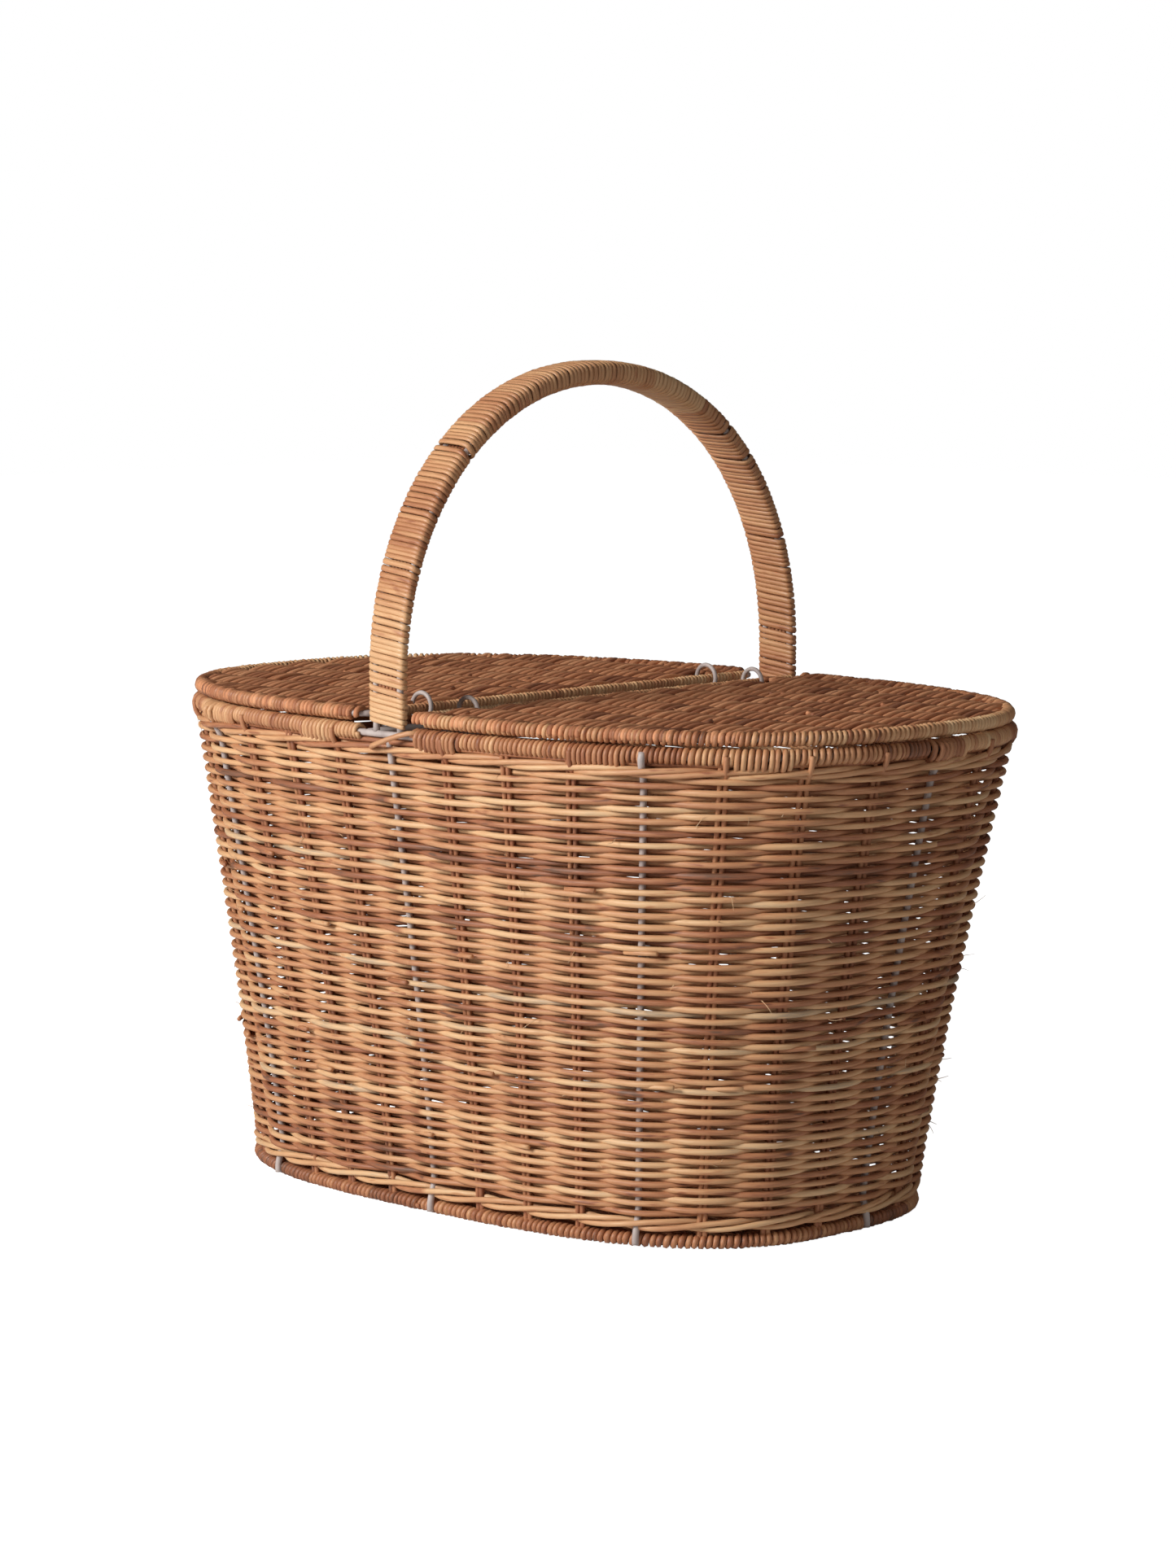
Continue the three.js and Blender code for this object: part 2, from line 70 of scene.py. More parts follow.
# %% Camera
CAMERA_AZIMUTH = math.radians(44.26)
CAMERA_ELEVATION = math.radians(6.87)
CAMERA_DISTANCE = 2.262
CAMERA_TARGET = np.array([-0.0014, -0.0013, 0.2063])
LENS = 134.57
SENSOR = 36.0


def toward(azimuth, elevation):
    """The direction away from the basket at a level turn and a rise."""
    flat = math.cos(elevation)
    return np.array([math.sin(azimuth) * flat, -math.cos(azimuth) * flat, math.sin(elevation)])


def aim(thing, place, target):
    """Puts a camera or a light at a place and turns it to a target."""
    thing.location = place
    thing.rotation_euler = Vector(target - place).to_track_quat("-Z", "Y").to_euler()
    bpy.context.scene.collection.objects.link(thing)


lens = bpy.data.cameras.new("camera")
lens.sensor_fit = "HORIZONTAL"
lens.sensor_width = SENSOR
lens.lens = LENS
camera = bpy.data.objects.new("camera", lens)
aim(camera, CAMERA_TARGET + CAMERA_DISTANCE * toward(CAMERA_AZIMUTH, CAMERA_ELEVATION), CAMERA_TARGET)
bpy.context.scene.camera = camera
print("camera at", [round(value, 3) for value in camera.location])

# %% [markdown]
# ## Floor and light
#
# Wicker is lit from one side with a large soft lamp, because light that skims along the wall is
# what shows the weave, and little else may light the gaps. The background
# and the floor are white, as on a light table. If they shone as brightly as they look, they would
# fill every gap, so both look white to the camera and light the basket only a little. The light
# path's camera output tells those two kinds of ray apart.

# %% Floor and light
def seen_or_cast(tree, seen, cast, socket):
    """Feeds a strength that is one value for what the camera sees and another for cast light."""
    rays = tree.nodes.new("ShaderNodeLightPath")
    strength = tree.nodes.new("ShaderNodeMapRange")
    strength.inputs["To Min"].default_value = cast
    strength.inputs["To Max"].default_value = seen
    tree.links.new(rays.outputs["Is Camera Ray"], strength.inputs["Value"])
    tree.links.new(strength.outputs["Result"], socket)


def acrylic(seen, cast):
    material = bpy.data.materials.new("white_acrylic")
    material.use_nodes = True
    shader = material.node_tree.nodes["Principled BSDF"]
    shader.inputs["Base Color"].default_value = (0.85, 0.85, 0.85, 1)
    shader.inputs["Roughness"].default_value = 0.9
    shader.inputs["Emission Color"].default_value = (1, 1, 1, 1)
    seen_or_cast(material.node_tree, seen, cast, shader.inputs["Emission Strength"])
    return material


def floor_sheet(size, seen, cast):
    sheet = bmesh.new()
    bmesh.ops.create_grid(sheet, x_segments=1, y_segments=1, size=size)
    mesh = bpy.data.meshes.new("floor")
    sheet.to_mesh(mesh)
    sheet.free()
    floor = bpy.data.objects.new("floor", mesh)
    bpy.context.scene.collection.objects.link(floor)
    mesh.materials.append(acrylic(seen, cast))


def soft_lamp(name, azimuth, elevation, distance, size, power):
    lamp = bpy.data.lights.new(name, "AREA")
    lamp.shape = "DISK"
    lamp.size = size
    lamp.energy = power
    target = np.array([0.0, 0.0, 0.15])
    direction = toward(math.radians(azimuth), math.radians(elevation))
    aim(bpy.data.objects.new(name, lamp), target + distance * direction, target)


def white_world(seen, cast):
    world = bpy.data.worlds.new("white")
    world.use_nodes = True
    background = world.node_tree.nodes["Background"]
    background.inputs["Color"].default_value = (1, 1, 1, 1)
    seen_or_cast(world.node_tree, seen, cast, background.inputs["Strength"])
    bpy.context.scene.world = world


floor_sheet(size=6, seen=0.95, cast=0.0)
white_world(seen=1.0, cast=0.07)
soft_lamp("key_lamp", azimuth=-14, elevation=26, distance=2.6, size=1.0, power=74)
soft_lamp("fill_lamp", azimuth=80, elevation=30, distance=3.0, size=2.0, power=11)
bpy.context.scene.view_settings.view_transform = "Standard"
print("lamps:", len(bpy.data.lights))

# %% [markdown]
# ## Cane
#
# Everything woven here is one thing repeated: a thin round stem, bent along a line. A bevelled curve
# is made for that. All the canes of a piece go into one curve object as separate splines, Blender
# draws the round section along each of them, and the result is turned into a mesh once, so that it
# can carry what the finish needs:
#
# - `cane`, a vector that runs along each stem and round it, so that its fibres follow every bend;
# - `tone`, how dark that length of cane has dried;
# - a UV map with one strip for each length of cane, and no strip on top of another.
#
# Cane for winding is split and lies flatter on what it covers. Giving a strand a facing direction
# and a flatness presses its round section down along that direction.

# %% One cane, and a piece made of many
def strand(points, radius, tone=0.4, closed=False, facing=None, flatness=1.0):
    """One length of cane: its middle line in metres, and its radius and tone along that line."""
    points = np.asarray(points, float)
    radius, tone = (np.broadcast_to(np.asarray(value, float), len(points)) for value in (radius, tone))
    return {"points": points, "radius": radius, "tone": tone, "closed": closed, "facing": facing,
            "flatness": flatness}


def marks_along(points):
    """How far along a line each of its points lies."""
    steps = np.linalg.norm(np.diff(points, axis=0), axis=1)
    return np.concatenate([[0.0], np.cumsum(steps)])


def drawn_mesh(name, strands, sides):
    """The strands as bevelled splines, turned into a mesh: sides points for each point of a line."""
    curve = bpy.data.curves.new(name, "CURVE")
    curve.dimensions = "3D"
    curve.bevel_depth = MM
    curve.bevel_resolution = sides // 2 - 2
    for one in strands:
        count = len(one["points"])
        spline = curve.splines.new("POLY")
        spline.points.add(count - 1)
        places = np.column_stack([one["points"], np.ones(count)])
        spline.points.foreach_set("co", places.astype(np.float32).ravel())
        spline.points.foreach_set("radius", (one["radius"] / MM).astype(np.float32))
        spline.use_cyclic_u = one["closed"]
    drawn = bpy.data.objects.new(name, curve)
    bpy.context.scene.collection.objects.link(drawn)
    mesh = bpy.data.meshes.new_from_object(drawn)
    bpy.data.objects.remove(drawn)
    bpy.data.curves.remove(curve)
    mesh.name = name
    return mesh


def press_flat(mesh, strands, sides):
    places = np.empty(3 * len(mesh.vertices), np.float32)
    mesh.vertices.foreach_get("co", places)
    places = places.reshape(-1, 3)
    start = 0
    for one in strands:
        end = start + sides * len(one["points"])
        if one["facing"] is not None:
            facing = np.repeat(one["facing"], sides, axis=0)
            height = ((places[start:end] - np.repeat(one["points"], sides, axis=0)) * facing).sum(1)
            places[start:end] -= facing * (height * (1 - one["flatness"]))[:, None]
        start = end
    mesh.vertices.foreach_set("co", places.ravel())


def mark_fibres(mesh, strands, sides, rng):
    """Writes the cane and tone attributes."""
    around = TAU * np.arange(sides) / sides
    rows, tones = [], []
    for one in strands:
        along = marks_along(one["points"]) + rng.uniform(0, 20)
        radius = one["radius"][0]
        rows.append(np.column_stack([
            np.repeat(along, sides),
            np.tile(radius * np.cos(around), len(along)),
            np.tile(radius * np.sin(around), len(along)),
        ]))
        tones.append(np.repeat(one["tone"], sides))
    for name, kind, field, values in (
            ("cane", "FLOAT_VECTOR", "vector", rows), ("tone", "FLOAT", "value", tones)):
        data = mesh.attributes.new(name, kind, "POINT").data
        data.foreach_set(field, np.concatenate(values).astype(np.float32).ravel())


STRIP_MARGIN = 0.08
STRIP_ENDS = 0.02


def last_corners(strands, sides):
    """Where each strand's points end in the list of a mesh's points."""
    return np.cumsum([sides * len(one["points"]) for one in strands])


def lay_strips(mesh, strands, sides):
    """Puts each length of cane in UV strips of its own, and returns each strand's strips."""
    lengths = np.array([marks_along(one["points"])[-1] for one in strands])
    girth = TAU * np.mean([one["radius"][0] for one in strands])
    strip = math.sqrt(lengths.sum() * girth)
    counts = np.maximum(1, np.round(lengths / strip)).astype(int)
    firsts = np.concatenate([[0], np.cumsum(counts)[:-1]])
    total = counts.sum()
    corners = np.empty(len(mesh.loops), np.int32)
    mesh.loops.foreach_get("vertex_index", corners)
    ends = last_corners(strands, sides)
    owner = np.searchsorted(ends, corners.reshape(-1, 4).min(1), side="right")
    layer = mesh.uv_layers[0]
    layer.name = "OFBake"
    flat = np.empty(2 * len(mesh.loops), np.float32)
    layer.uv.foreach_get("vector", flat)
    flat = flat.reshape(-1, 4, 2)
    reach = flat[:, :, 0] * counts[owner][:, None]
    part = np.clip(np.floor(reach.mean(1)), 0, counts[owner] - 1)
    inside = np.clip(reach - part[:, None], 0, 1)
    row = (firsts[owner] + part)[:, None]
    flat[:, :, 0] = STRIP_ENDS + (1 - 2 * STRIP_ENDS) * inside
    flat[:, :, 1] = (row + STRIP_MARGIN + (1 - 2 * STRIP_MARGIN) * flat[:, :, 1]) / total
    layer.uv.foreach_set("vector", flat.ravel())
    return firsts, counts, total


def close_ends(mesh, strands, sides, strips):
    """Fills the open end of each cane, and gives the small face its own spot in the UV map."""
    firsts, counts, total = strips
    ends = last_corners(strands, sides)
    shell = bmesh.new()
    shell.from_mesh(mesh)
    open_edges = [edge for edge in shell.edges if edge.is_boundary]
    filled = bmesh.ops.holes_fill(shell, edges=open_edges, sides=sides)["faces"]
    layer = shell.loops.layers.uv["OFBake"]
    for face in filled:
        face.smooth = True
        lowest = min(loop.vert.index for loop in face.loops)
        owner = int(np.searchsorted(ends, lowest, side="right"))
        at_end = ends[owner] - lowest <= sides
        row = firsts[owner] + (counts[owner] - 1 if at_end else 0)
        middle = 1 - STRIP_ENDS / 2 if at_end else STRIP_ENDS / 2
        for number, loop in enumerate(face.loops):
            turn = TAU * number / sides
            across = row + 0.5 + 0.4 * math.sin(turn)
            loop[layer].uv = (middle + 0.4 * STRIP_ENDS * math.cos(turn), across / total)
    bmesh.ops.recalc_face_normals(shell, faces=shell.faces)
    shell.to_mesh(mesh)
    shell.free()


pieces = {}
finishes = {}


def settle(name, mesh, body, slot, nodes):
    """A finished mesh becomes a piece that rides on its body and stands for its plain twins."""
    piece = bpy.data.objects.new(name, mesh)
    bpy.context.scene.collection.objects.link(piece)
    mesh.materials.append(finishes[slot])
    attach(piece, body)
    if nodes:
        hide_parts(*nodes)
    pieces[name] = sum(len(face.vertices) - 2 for face in mesh.polygons)
    return piece


def weave_piece(name, strands, slot, nodes, body="basket", sides=6):
    """Makes one piece of many canes or rods."""
    mesh = drawn_mesh(name, strands, sides)
    press_flat(mesh, strands, sides)
    mark_fibres(mesh, strands, sides, np.random.default_rng(len(name) + len(strands)))
    strips = lay_strips(mesh, strands, sides)
    close_ends(mesh, strands, sides, strips)
    mesh.shade_smooth()
    settle(name, mesh, body, slot, nodes)
    print(f"{name}: {len(strands)} strands, {pieces[name]} triangles")


# %% [markdown]
# ## Finishes
#
# Peeled rattan core has no bark, so its look comes from three scales at once: every stem has dried to
# its own tone, each stem wanders between lighter and darker along its length, and fine fibres run
# along it as streaks and shallow grooves. One function mixes those three into a single number and
# reads the colour from a ramp. Each part of the basket has a ramp and a sheen of its own: the
# handle's cane is pale and polished by hands, and the base's is dark.
#
# The frame's paint is brushed on thinly. It is never quite white, and it is dull where it has
# rubbed.

# %% Cane finish
WANDER = 0.3
STREAKS = 0.22


def noise(tree, source, scale, detail):
    """A noise that follows the source vector, stretched by a scale for each of its directions."""
    mapping = tree.nodes.new("ShaderNodeMapping")
    mapping.inputs["Scale"].default_value = scale
    tree.links.new(source, mapping.inputs["Vector"])
    texture = tree.nodes.new("ShaderNodeTexNoise")
    texture.inputs["Scale"].default_value = 1
    texture.inputs["Detail"].default_value = detail
    tree.links.new(mapping.outputs["Vector"], texture.inputs["Vector"])
    return texture.outputs["Fac"]


def ranged(tree, value, low, high, start=0.0, end=1.0):
    """Maps start..end of a value to low..high."""
    change = tree.nodes.new("ShaderNodeMapRange")
    for name, number in (("From Min", start), ("From Max", end), ("To Min", low), ("To Max", high)):
        change.inputs[name].default_value = number
    tree.links.new(value, change.inputs["Value"])
    return change.outputs["Result"]


def added(tree, first, second):
    total = tree.nodes.new("ShaderNodeMath")
    total.operation = "ADD"
    tree.links.new(first, total.inputs[0])
    tree.links.new(second, total.inputs[1])
    return total.outputs["Value"]


def new_finish(slot):
    """A new material for a slot: the tree that it is built in, and its shader."""
    material = bpy.data.materials.new(f"{slot}_finish")
    material.use_nodes = True
    finishes[slot] = material
    return material.node_tree, material.node_tree.nodes["Principled BSDF"]


def grooved(tree, shader, height, strength, depth):
    """Presses a height into the surface's shading."""
    bump = tree.nodes.new("ShaderNodeBump")
    bump.inputs["Strength"].default_value = strength
    bump.inputs["Distance"].default_value = depth
    tree.links.new(height, bump.inputs["Height"])
    tree.links.new(bump.outputs["Normal"], shader.inputs["Normal"])


def cane_finish(slot, colours, roughness, groove=0.35):
    tree, shader = new_finish(slot)
    stem, tone = (tree.nodes.new("ShaderNodeAttribute") for _ in range(2))
    stem.attribute_name, tone.attribute_name = "cane", "tone"
    fibres = noise(tree, stem.outputs["Vector"], (140, 2400, 2400), 3)
    clouds = noise(tree, stem.outputs["Vector"], (26, 160, 160), 2)
    stains = noise(tree, stem.outputs["Vector"], (75, 420, 420), 1)
    shade = added(tree, tone.outputs["Fac"], ranged(tree, clouds, -WANDER, WANDER))
    shade = added(tree, shade, ranged(tree, fibres, -STREAKS, STREAKS))
    shade = added(tree, shade, ranged(tree, stains, 0, 0.3, 0.64, 0.78))
    ramp = tree.nodes.new("ShaderNodeValToRGB")
    ramp.color_ramp.elements.remove(ramp.color_ramp.elements[1])
    for number, colour in enumerate(colours):
        place = number / (len(colours) - 1)
        element = ramp.color_ramp.elements[0] if number == 0 else ramp.color_ramp.elements.new(place)
        element.position = place
        element.color = (*colour, 1)
    tree.links.new(shade, ramp.inputs["Fac"])
    tree.links.new(ramp.outputs["Color"], shader.inputs["Base Color"])
    tree.links.new(ranged(tree, fibres, roughness - 0.1, roughness + 0.12), shader.inputs["Roughness"])
    grooved(tree, shader, fibres, groove, 0.2 * MM)


DRIFTWOOD = (0.40, 0.29, 0.19)
STRAW = (0.68, 0.43, 0.225)
HONEY = (0.60, 0.325, 0.155)
TAN = (0.47, 0.21, 0.095)
CORAL = (0.66, 0.31, 0.15)
RUSSET = (0.58, 0.24, 0.108)
RED_BROWN = (0.31, 0.108, 0.046)
UMBER = (0.15, 0.068, 0.036)

PALE_TO_DARK = (DRIFTWOOD, STRAW, HONEY, TAN, RED_BROWN, UMBER)

cane_finish("wall_cane", PALE_TO_DARK, 0.55)
cane_finish("stake_cane", (HONEY, TAN, RED_BROWN, UMBER), 0.6)
cane_finish("binding_cane", PALE_TO_DARK, 0.52)
cane_finish("lid_cane", (CORAL, RUSSET, RED_BROWN, UMBER), 0.7)
cane_finish("base_cane", (HONEY, TAN, RED_BROWN, UMBER), 0.6)
cane_finish("handle_cane", PALE_TO_DARK[:-1], 0.45, groove=0.45)
print("cane finishes:", len(finishes))


# %% Painted iron
RUBBED_PAINT = (0.36, 0.29, 0.265)
FRESH_PAINT = (0.50, 0.425, 0.39)


def painted_iron_finish():
    tree, shader = new_finish("painted_iron")
    place = tree.nodes.new("ShaderNodeTexCoord").outputs["Object"]
    brushed = noise(tree, place, (900, 900, 260), 4)
    patches = noise(tree, place, (90, 90, 60), 2)
    ramp = tree.nodes.new("ShaderNodeValToRGB")
    stops = ((0.3, RUBBED_PAINT), (0.62, FRESH_PAINT))
    for element, (position, colour) in zip(ramp.color_ramp.elements, stops):
        element.position = position
        element.color = (*colour, 1)
    tree.links.new(patches, ramp.inputs["Fac"])
    tree.links.new(ramp.outputs["Color"], shader.inputs["Base Color"])
    tree.links.new(ranged(tree, brushed, 0.35, 0.6), shader.inputs["Roughness"])
    grooved(tree, shader, brushed, 0.3, 0.15 * MM)


painted_iron_finish()
print("painted iron ready")

# %% [markdown]
# ## The wall's shape
#
# The basket is a rounded oblong that flares from base to rim, and the base sits a little off the
# middle, as a handmade one does. Both rings are superellipses. Rather than model the wall as a
# surface, one function answers where the wall is at a stake's number and a height, and every cane of
# the wall asks it. It looks the answer up in a grid that is filled once, which keeps thousands of
# questions quick.

# %% Rings, heights and the wall function
ROD = 2.0 * MM
ROD_SKIN = 1.75 * MM
RIM_SQUARENESS = 2.6
BASE_SQUARENESS = 2.9
WALL_FLARE = 1.2
STAKES = 32
STAKE_TWIST = 9.5 * MM
JOG_HEIGHT = 16 * MM
JOG_OUT = 4.3 * MM


def ring_size(node):
    """Half length, half width, middle and height of a ring rod's middle line."""
    low, high = (np.array(corner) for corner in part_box(node))
    half, middle = (high - low) / 2, (high + low) / 2
    return half[0] - ROD, half[1] - ROD, middle[:2], middle[2]


RIM_A, RIM_B, RIM_MIDDLE, RIM_Z = ring_size("rim_ring")
BASE_A, BASE_B, BASE_MIDDLE, BASE_Z = ring_size("base_ring")
RIM_SHAPE = (RIM_A, RIM_B, RIM_SQUARENESS, RIM_MIDDLE)
BASE_SHAPE = (BASE_A, BASE_B, BASE_SQUARENESS, BASE_MIDDLE)
LEVELS = 61
SHARES = 16 * STAKES


def oval(half_length, half_width, squareness, middle):
    """Points at equal distances round a superellipse from its front, and its girth."""
    angle = np.linspace(-math.pi / 2, 1.5 * math.pi, 2881)
    x = np.abs(np.cos(angle) / half_length) ** squareness
    y = np.abs(np.sin(angle) / half_width) ** squareness
    radius = (x + y) ** (-1 / squareness)
    ring = np.column_stack([radius * np.cos(angle), radius * np.sin(angle)]) + middle
    marks = marks_along(ring)
    even = np.linspace(0, marks[-1], SHARES + 1)
    return np.column_stack([np.interp(even, marks, axis) for axis in ring.T]), marks[-1]


def wall_grid():
    rings, girths = [], []
    for spread in np.linspace(0, 1, LEVELS) ** WALL_FLARE:
        ring, girth = oval(*(base + (rim - base) * spread for base, rim in zip(BASE_SHAPE, RIM_SHAPE)))
        rings.append(ring)
        girths.append(girth)
    rings = np.array(rings)
    along = np.roll(rings[:, :-1], -1, axis=1) - np.roll(rings[:, :-1], 1, axis=1)
    along /= np.linalg.norm(along, axis=2, keepdims=True)
    outward = np.stack([along[:, :, 1], -along[:, :, 0]], axis=2)
    return rings, np.concatenate([outward, outward[:, :1]], axis=1), np.array(girths)


WALL_RINGS, WALL_OUTWARD, GIRTHS = wall_grid()


def look_up(grid, row, column):
    """The grid's value between its rows and columns."""
    i = np.clip(np.floor(row).astype(int), 0, grid.shape[0] - 2)
    j = np.clip(np.floor(column).astype(int), 0, grid.shape[1] - 2)
    down, right = (row - i)[:, None], (column - j)[:, None]
    upper = grid[i, j] * (1 - right) + grid[i, j + 1] * right
    lower = grid[i + 1, j] * (1 - right) + grid[i + 1, j + 1] * right
    return upper * (1 - down) + lower * down


def wall(stake, height, out=0.0):
    """Where the wall is at stake numbers, heights and distances outwards, as an array of points."""
    stake, height, out = np.broadcast_arrays(np.asarray(stake, float), height, out)
    level = np.clip((height - BASE_Z) / (RIM_Z - BASE_Z), 0, 1)
    row = level * (LEVELS - 1)
    twist = STAKE_TWIST * (1 - level ** WALL_FLARE) / np.interp(row, np.arange(LEVELS), GIRTHS)
    column = ((stake / STAKES + twist) % 1) * SHARES
    flat = look_up(WALL_RINGS, row, column) + look_up(WALL_OUTWARD, row, column) * out[:, None]
    return np.column_stack([flat, height])


def smooth_step(value, start, end):
    share = np.clip((value - start) / (end - start), 0, 1)
    return share * share * (3 - 2 * share)


def jog(height):
    """How far an upright stands outside the rings' own line near its two ends."""
    from_end = np.minimum(height - BASE_Z, RIM_Z - height)
    return JOG_OUT * (1 - smooth_step(from_end, 0, JOG_HEIGHT))


print(f"rim {2 * RIM_A:.3f} x {2 * RIM_B:.3f} m at {RIM_Z:.3f}, base {2 * BASE_A:.3f} x {2 * BASE_B:.3f} m")

# %% [markdown]
# ## Rods of the frame
#
# The skeleton is bare iron rod: two rings, eight uprights, two crossbars over the middle and two rods
# under the base. The uprights pass outside the rings where they are welded, but the two at the
# handle's feet stop under the rim. A rod is a strand too, with a finer section than cane, because its
# clean highlight would show every flat.

# %% Iron rods of the basket's body
ROD_SIDES = 12


def ring_points(shape, height):
    ring, _ = oval(*shape)
    return np.column_stack([ring, np.full(len(ring), height)])


def rod_piece(name, strands, nodes, body="basket"):
    weave_piece(name, strands, "painted_iron", nodes, body, ROD_SIDES)


rim_points = ring_points(RIM_SHAPE, RIM_Z)
base_points = ring_points(BASE_SHAPE, BASE_Z)
for name, points in (("rim_ring", rim_points), ("base_ring", base_points)):
    rod_piece(f"{name}_rod", [strand(points[:-1:2], ROD_SKIN, closed=True)], [name])


def straight_rod(node):
    """A rod along a node's longest side, through the middle of its box."""
    low, high = (np.array(corner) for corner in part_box(node))
    middle = (low + high) / 2
    longest = np.argmax(high - low)
    start, end = middle.copy(), middle.copy()
    start[longest], end[longest] = low[longest], high[longest]
    return strand(np.linspace(start, end, 12), ROD_SKIN)


for node in ("base_rod_left", "base_rod_right", "crossbar_left", "crossbar_right"):
    rod_piece(f"{node}_iron", [straight_rod(node)], [node])


IRON_EVERY = 4
FEET_EVERY = 16
UPRIGHT_FOOT = 1.9 * MM
UPRIGHT_TIP = 1.6 * MM
TIP_BEND = 2 * MM


def near_stake(stake, every):
    """1 at each stake whose number is a multiple of every, falling to 0 at the stakes beside it."""
    return np.clip(1 - np.abs((stake + every / 2) % every - every / 2), 0, 1)


def pushed_out(stake, height):
    """How far the wall stands out where an iron upright passes outside a ring, and none at the
    tops of the two at the handle's feet."""
    at_foot = near_stake(stake, FEET_EVERY) * (height > RIM_Z / 2)
    return jog(height) * near_stake(stake, IRON_EVERY) * (1 - at_foot)


def up_the_wall(marks, counts):
    """Heights from mark to mark, with a number of points for each stretch."""
    parts = [np.linspace(low, high, count) for low, high, count in zip(marks, marks[1:], counts)]
    return np.concatenate([part[:-1] for part in parts[:-1]] + parts[-1:])


def upright_strand(number):
    """A rod up the wall, outside the base ring and, away from the handle, outside the rim ring too."""
    top = RIM_Z + (UPRIGHT_TIP if number % FEET_EVERY else -3 * MM)
    height = up_the_wall([UPRIGHT_FOOT, BASE_Z + JOG_HEIGHT, RIM_Z - JOG_HEIGHT, top], [14, 30, 16])
    tip = UPRIGHT_TIP * smooth_step(height, RIM_Z - TIP_BEND, RIM_Z + TIP_BEND)
    return strand(wall(number, height, pushed_out(number, height) - tip), ROD_SKIN)


for number in range(0, STAKES, IRON_EVERY):
    rod_piece(f"upright_{number}_iron", [upright_strand(number)], [f"upright_{number}"])

# %% [markdown]
# ## Cane stakes
#
# Between the iron uprights stand three pairs of thin canes. Their feet are tied in under the base's
# winding. At the top one cane of most pairs bends out over the rim, and shows below the rim's
# winding. Each pair is a piece of its own, as on the bench.

# %% Stake pairs
STAKE_RADIUS = 1.35 * MM
STAKE_APART = 1.42 * MM
STAKE_HEAD_OUT = 4.2 * MM


def stake_strand(number, side, rng):
    """One cane of a pair: side is -1 or 1, and only the second one's head may bend outwards."""
    height = up_the_wall([3.2 * MM, 22 * MM, RIM_Z - 16 * MM, RIM_Z + 1 * MM], [12, 32, 12])
    bent = side > 0 and rng.random() < 0.6
    head = STAKE_HEAD_OUT * smooth_step(height, RIM_Z - 13 * MM, RIM_Z - 3 * MM) * bent
    sway = 0.35 * MM * np.sin(height * 60 + rng.uniform(0, TAU))
    shift = (side * STAKE_APART + sway * 0.5) / (GIRTHS.mean() / STAKES)
    tone = rng.uniform(0.35, 0.75) + 0.1 * np.sin(height * 25 + rng.uniform(0, TAU))
    return strand(wall(number + shift, height, head + sway * 0.3), STAKE_RADIUS, tone)


for number in range(STAKES):
    if number % IRON_EVERY:
        rng = np.random.default_rng(200 + number)
        pair = [stake_strand(number, side, rng) for side in (-1, 1)]
        weave_piece(f"stake_pair_{number}", pair, "stake_cane", [f"cane_stake_{number}"], sides=8)

# %% [markdown]
# ## The woven wall
#
# Randing is the plainest weave: a weaver passes in front of one stake and behind the next, and the
# row above does the opposite. A cosine of the stake's number gives that swing. No two canes are alike,
# so each row has its own thickness, waves a little, and changes tone behind a stake where one length
# of cane ends and the next is pushed in. Neighbouring rows share their slow waves, because a row
# rests on the one below it, and the rows open a little toward the rim.
#
# The rows are closed loops with a section of eight sides. They are split into three pieces, to keep
# each one light enough to export whole.

# %% Weavers
WEAVER_STEPS = 8
ALL_ROUND = np.arange(STAKES * WEAVER_STEPS) / WEAVER_STEPS
FIRST_ROW = 17.2 * MM
LAST_ROW = 231.2 * MM
WALL_ROWS = 82
CANE_SWING = 2.65 * MM
IRON_SWING = 2.9 * MM
BANDS = ("low", "middle", "high")


def slow_wave(stake, rng, size, waves=(1, 2, 3, 5)):
    """A gentle closed wave round the basket."""
    total = np.zeros_like(stake)
    for wave in waves:
        total += rng.normal(0, size / wave ** 0.5) * np.sin(TAU * wave * stake / STAKES + rng.uniform(0, TAU))
    return total


def pieced_tones(stake, row, rng, middle, variety):
    """A tone for each length of cane in a row. Lengths meet behind a stake."""
    tones = np.empty_like(stake)
    joint = int(rng.integers(0, 12)) * 2 + (row + 1) % 2
    tones[:] = middle + rng.normal(0, variety)
    while joint < STAKES:
        tones[stake >= joint] = middle + rng.normal(0, variety)
        joint += int(rng.integers(4, 12)) * 2
    return tones


def shared_lift(stake, height):
    """The slow rise and fall that neighbouring rows have in common."""
    share = height / RIM_Z
    return 0.7 * MM * (
        np.sin(TAU * stake * 2 / STAKES + 5 * share) + 0.6 * np.sin(TAU * stake * 5 / STAKES + 11 * share))


def batch_tone(row):
    """Cane comes in bundles, so some bands of rows are darker than others."""
    return 0.03 * math.sin(row * 0.37) + 0.05 * math.sin(row * 0.13 + 2)


def weaver(row):
    rng = np.random.default_rng(1000 + row)
    stake = ALL_ROUND
    share = row / (WALL_ROWS - 1)
    height = FIRST_ROW + (LAST_ROW - FIRST_ROW) * (0.91 * share + 0.09 * share ** 2)
    swing = np.cos(math.pi * (stake + row))
    iron = near_stake(stake, IRON_EVERY)
    out = swing * (CANE_SWING + (IRON_SWING - CANE_SWING) * iron) + pushed_out(stake, height)
    out = out + slow_wave(stake, rng, 0.12 * MM, (7, 9, 13))
    height = height + shared_lift(stake, height) + slow_wave(stake, rng, 0.16 * MM, (3, 6, 10, 15))
    radius = rng.uniform(1.46, 1.62) * MM * (1 + 0.04 * slow_wave(stake, rng, 1.0))
    tone = pieced_tones(stake, row, rng, 0.55 + batch_tone(row), 0.17)
    return strand(wall(stake, height, out), radius, tone, closed=True)


